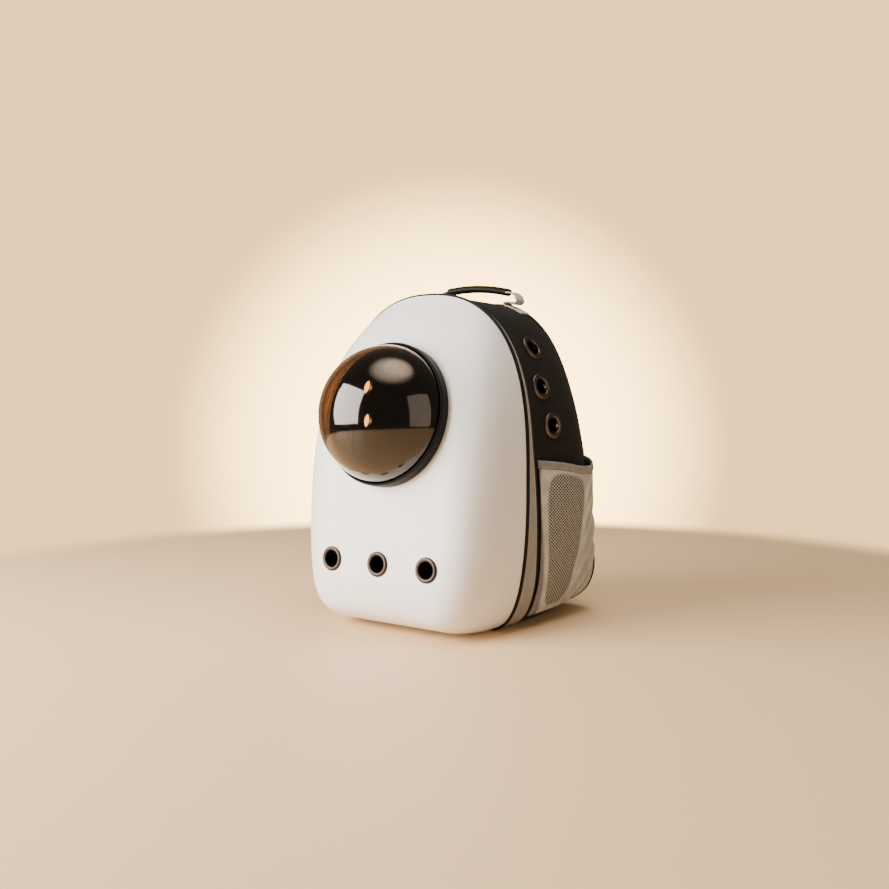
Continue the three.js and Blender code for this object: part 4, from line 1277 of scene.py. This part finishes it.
def handle_line(way, reach):
    """The webbing's line: out of the sleeve, down and under in a loop, and along the crown."""
    level = grip_height(way * (grip_length / 2 + gap))
    start = grip_length / 2 + gap + way * grip_shift
    line = [(start, level), (start + reach * 0.5, level - fold_drop * 0.06),
            (start + reach * 0.9, level - fold_drop * 0.3),
            (start + reach, level - fold_drop * 0.6)]
    for across, lift in ((reach * 0.75, loop_lift), (reach * 0.3, loop_lift * 0.95),
                         (-loop_reach, loop_lift * 0.55), (-loop_reach * 0.6, tab_lift * 1.15)):
        x = start + across
        line.append((x, top_height(x, handle_depth) + lift))
    for share in (0.25, 0.5, 0.75, 1):
        x = start - loop_reach * 0.6 + tab_length * share
        slope = (top_height(x + 1, handle_depth) - top_height(x - 1, handle_depth)) / 2
        out = Vector((-slope, 0, 1)).normalized() * tab_lift
        line.append((x + out.x, top_height(x, handle_depth) + out.z))
    return [Vector((way * x, handle_depth, z)) for x, z in line]


flat_section = webbing_section(web_width, web_thickness)
for side, way, reach in (("right", 1, 17), ("left", -1, 10)):
    strap = ribbon(f"handle_strap_{side}", handle_line(way, reach), backward,
                   lambda share: flat_section, 7, 60)
    dress(strap, pale_webbing, "carrier", "webbing", f"handle_webbing_{side}")

# Shoulder straps: foam pads in black spacer mesh with a bound edge, which narrow into webbing.
# The webbing runs through a plastic adjuster down to the lower corner of the back.
pad_width, pad_thickness, strap_web_width, strap_standoff = 62, 11, 25, 36
adjuster_width, adjuster_height, adjuster_thickness, adjuster_bar = 36, 22, 4, 3.5
strap_run = [(0.905, 0.22, 0), (0.87, 0.25, 0.22), (0.8, 0.31, 0.62), (0.68, 0.4, 0.95),
             (0.56, 0.49, 1), (0.44, 0.57, 0.88)]
strap_tail = [(0.425, 0.58, 0.99), (0.3, 0.66, 0.7), (0.19, 0.73, 0.32), (0.115, 0.775, 0.04),
              (0.085, 0.79, 0.02)]


def strap_points(table, way, thickness):
    points = []
    for height, across, standoff in table:
        z, x = height * bag_height, across * back_width / 2
        y = panel_rear(x, z) + thickness / 2 + 2 * gap + strap_standoff * standoff
        points.append(Vector((way * x, y, z)))
    return points


def strap_widthwise(way):
    lean = Vector((0.25 * way, 0, -1)).normalized()
    return Vector((0, 1, 0)).cross(lean) * way


def pad_section(share):
    """The pad's section: thin at its edges, full in its middle, and rounded at both ends."""
    end = min(share, 1 - share)
    half = pad_width / 2 * (1 - 0.12 * math.exp(-end / 0.03)) - 1
    ring = []
    for a in turns(32, 0):
        c, s = math.cos(a), math.sin(a)
        fall = 1 - 0.45 * abs(c) ** 6
        ring.append((math.copysign(half * abs(c) ** 0.5, c),
                     math.copysign((pad_thickness / 2 - 1.6) * fall * abs(s) ** 0.6, s)))
    return ring


for side, way in (("right", 1), ("left", -1)):
    line = strap_points(strap_run, way, pad_thickness)
    wide = strap_widthwise(way)
    frames = ribbon_frames(line, wide, 10)
    pad = ribbon(f"padded_strap_{side}", line, wide, pad_section, 10)

    def pad_sewn(p):
        place, _, across, _ = min(frames, key=lambda f: (f[0] - p).length)
        from_middle = abs((p - place).dot(across))
        return from_middle > pad_width / 2 - 7 or from_middle < 1.8

    inflate(pad, pad_sewn, 5, 4.5)
    dress(pad, black_spacer, "carrier", "padding", f"shoulder_pad_{side}")

    def edge_section(sign):
        def section(share):
            end = min(share, 1 - share)
            half = pad_width / 2 * (1 - 0.12 * math.exp(-end / 0.03)) - 2.2
            return [(sign * (half + 2.2 * math.cos(a)), 3.2 * math.sin(a))
                    for a in turns(14, 0)]
        return section

    for sign, edge in ((1, "outer"), (-1, "inner")):
        tape = ribbon(f"pad_binding_{side}_{edge}", line, wide, edge_section(sign), 10, 60)
        dress(tape, black_webbing, "carrier", "padding")

    tail = strap_points(strap_tail, way, web_thickness)
    section = webbing_section(strap_web_width, web_thickness)
    strap = ribbon(f"lower_strap_{side}", tail, wide, lambda share: section, 10, 60)
    dress(strap, black_webbing, "carrier", "strap", f"strap_webbing_{side}")

    down = (tail[1] - tail[0]).normalized()
    across = (wide - down * down.dot(wide)).normalized()
    outward = across.cross(down)
    if outward.y < 0:
        outward = -outward
    upward = outward.cross(across)
    middle = tail[0] + down * (adjuster_height / 2 + gap) + outward * (
        web_thickness / 2 + gap + adjuster_thickness / 2)
    bars = []
    long_half, high_half = (adjuster_width - adjuster_bar) / 2, (adjuster_height - adjuster_bar) / 2
    for v in (-high_half, 0, high_half):
        bars.append((middle + upward * v, across, upward, outward))
    cross_bars = blocks(f"adjuster_bars_{side}", bars,
                        (adjuster_width - 1, adjuster_bar, adjuster_thickness), satin_black,
                        "carrier", "buckle")
    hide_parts(f"strap_adjuster_{side}")
    ends = [(middle + across * u, upward, across, outward) for u in (-long_half, long_half)]
    blocks(f"adjuster_ends_{side}", ends, (adjuster_height - 0.5, adjuster_bar,
                                           adjuster_thickness), satin_black, "carrier", "buckle")

# Sewing: rows of pale thread along both edges of the trim band, and of grey thread along the
# lower edge of each pocket's rim.
def thread(name, dark, light):
    made = Finish(name)
    return made.surface({"Base Color": made.mix(made.cloud(2, 1), dark, light), "Roughness": 0.6})


stitch_inset, stitch_pitch = 2.2, 3.2
pale_thread = thread("pale_thread", (0.5, 0.47, 0.43), (0.62, 0.59, 0.54))
grey_thread = thread("grey_thread", (0.3, 0.285, 0.265), (0.4, 0.385, 0.36))


def stitch_row(name, point_at, spans, material, slot, pitch=stitch_pitch, thick=0.55):
    """Stitches along a line that is read by a share of its length, as frames of blocks."""
    line = [point_at(i / spans) for i in range(spans + 1)]
    frames, carried = [], pitch / 2
    for i in range(spans):
        (a, out), (b, _) = line[i], line[i + 1]
        length = (b - a).length
        along = (b - a).normalized()
        while carried < length:
            frames.append((a.lerp(b, carried / length), along, along.cross(out).normalized(), out))
            carried += pitch
        carried -= length
    return blocks(name, frames, (pitch * 0.72, thick, thick), material, "carrier", slot)


def band_stitch(rear):
    def point(share):
        a = -math.pi / 2 + 2 * math.pi * share
        z = outline_point(seam_section, a)[1]
        depth = band_end(z) - stitch_inset if rear else stack_start + stitch_inset + 0.2
        here = body_point(a, depth, -0.35)
        out = Vector((here.x, 0, here.z - seam_widest)).normalized()
        return here, out
    return point


stitch_row("band_front_stitches", band_stitch(False), 400, pale_thread, "band")
stitch_row("band_rear_stitches", band_stitch(True), 400, pale_thread, "band")


def rim_stitch(flip):
    def point(share):
        along = 0.03 + 0.94 * share
        z = rim_bottom(along) + stitch_inset
        here = pocket_point(along, z, (pocket_wall + rim_wall) / 2)
        out = side_normal(z, pocket_depth(along, z))
        return (mirrored(here), mirrored(out)) if flip else (here, out)
    return point


for side, flip in (("right", False), ("left", True)):
    stitch_row(f"rim_stitches_{side}", rim_stitch(flip), 60, grey_thread, "binding")
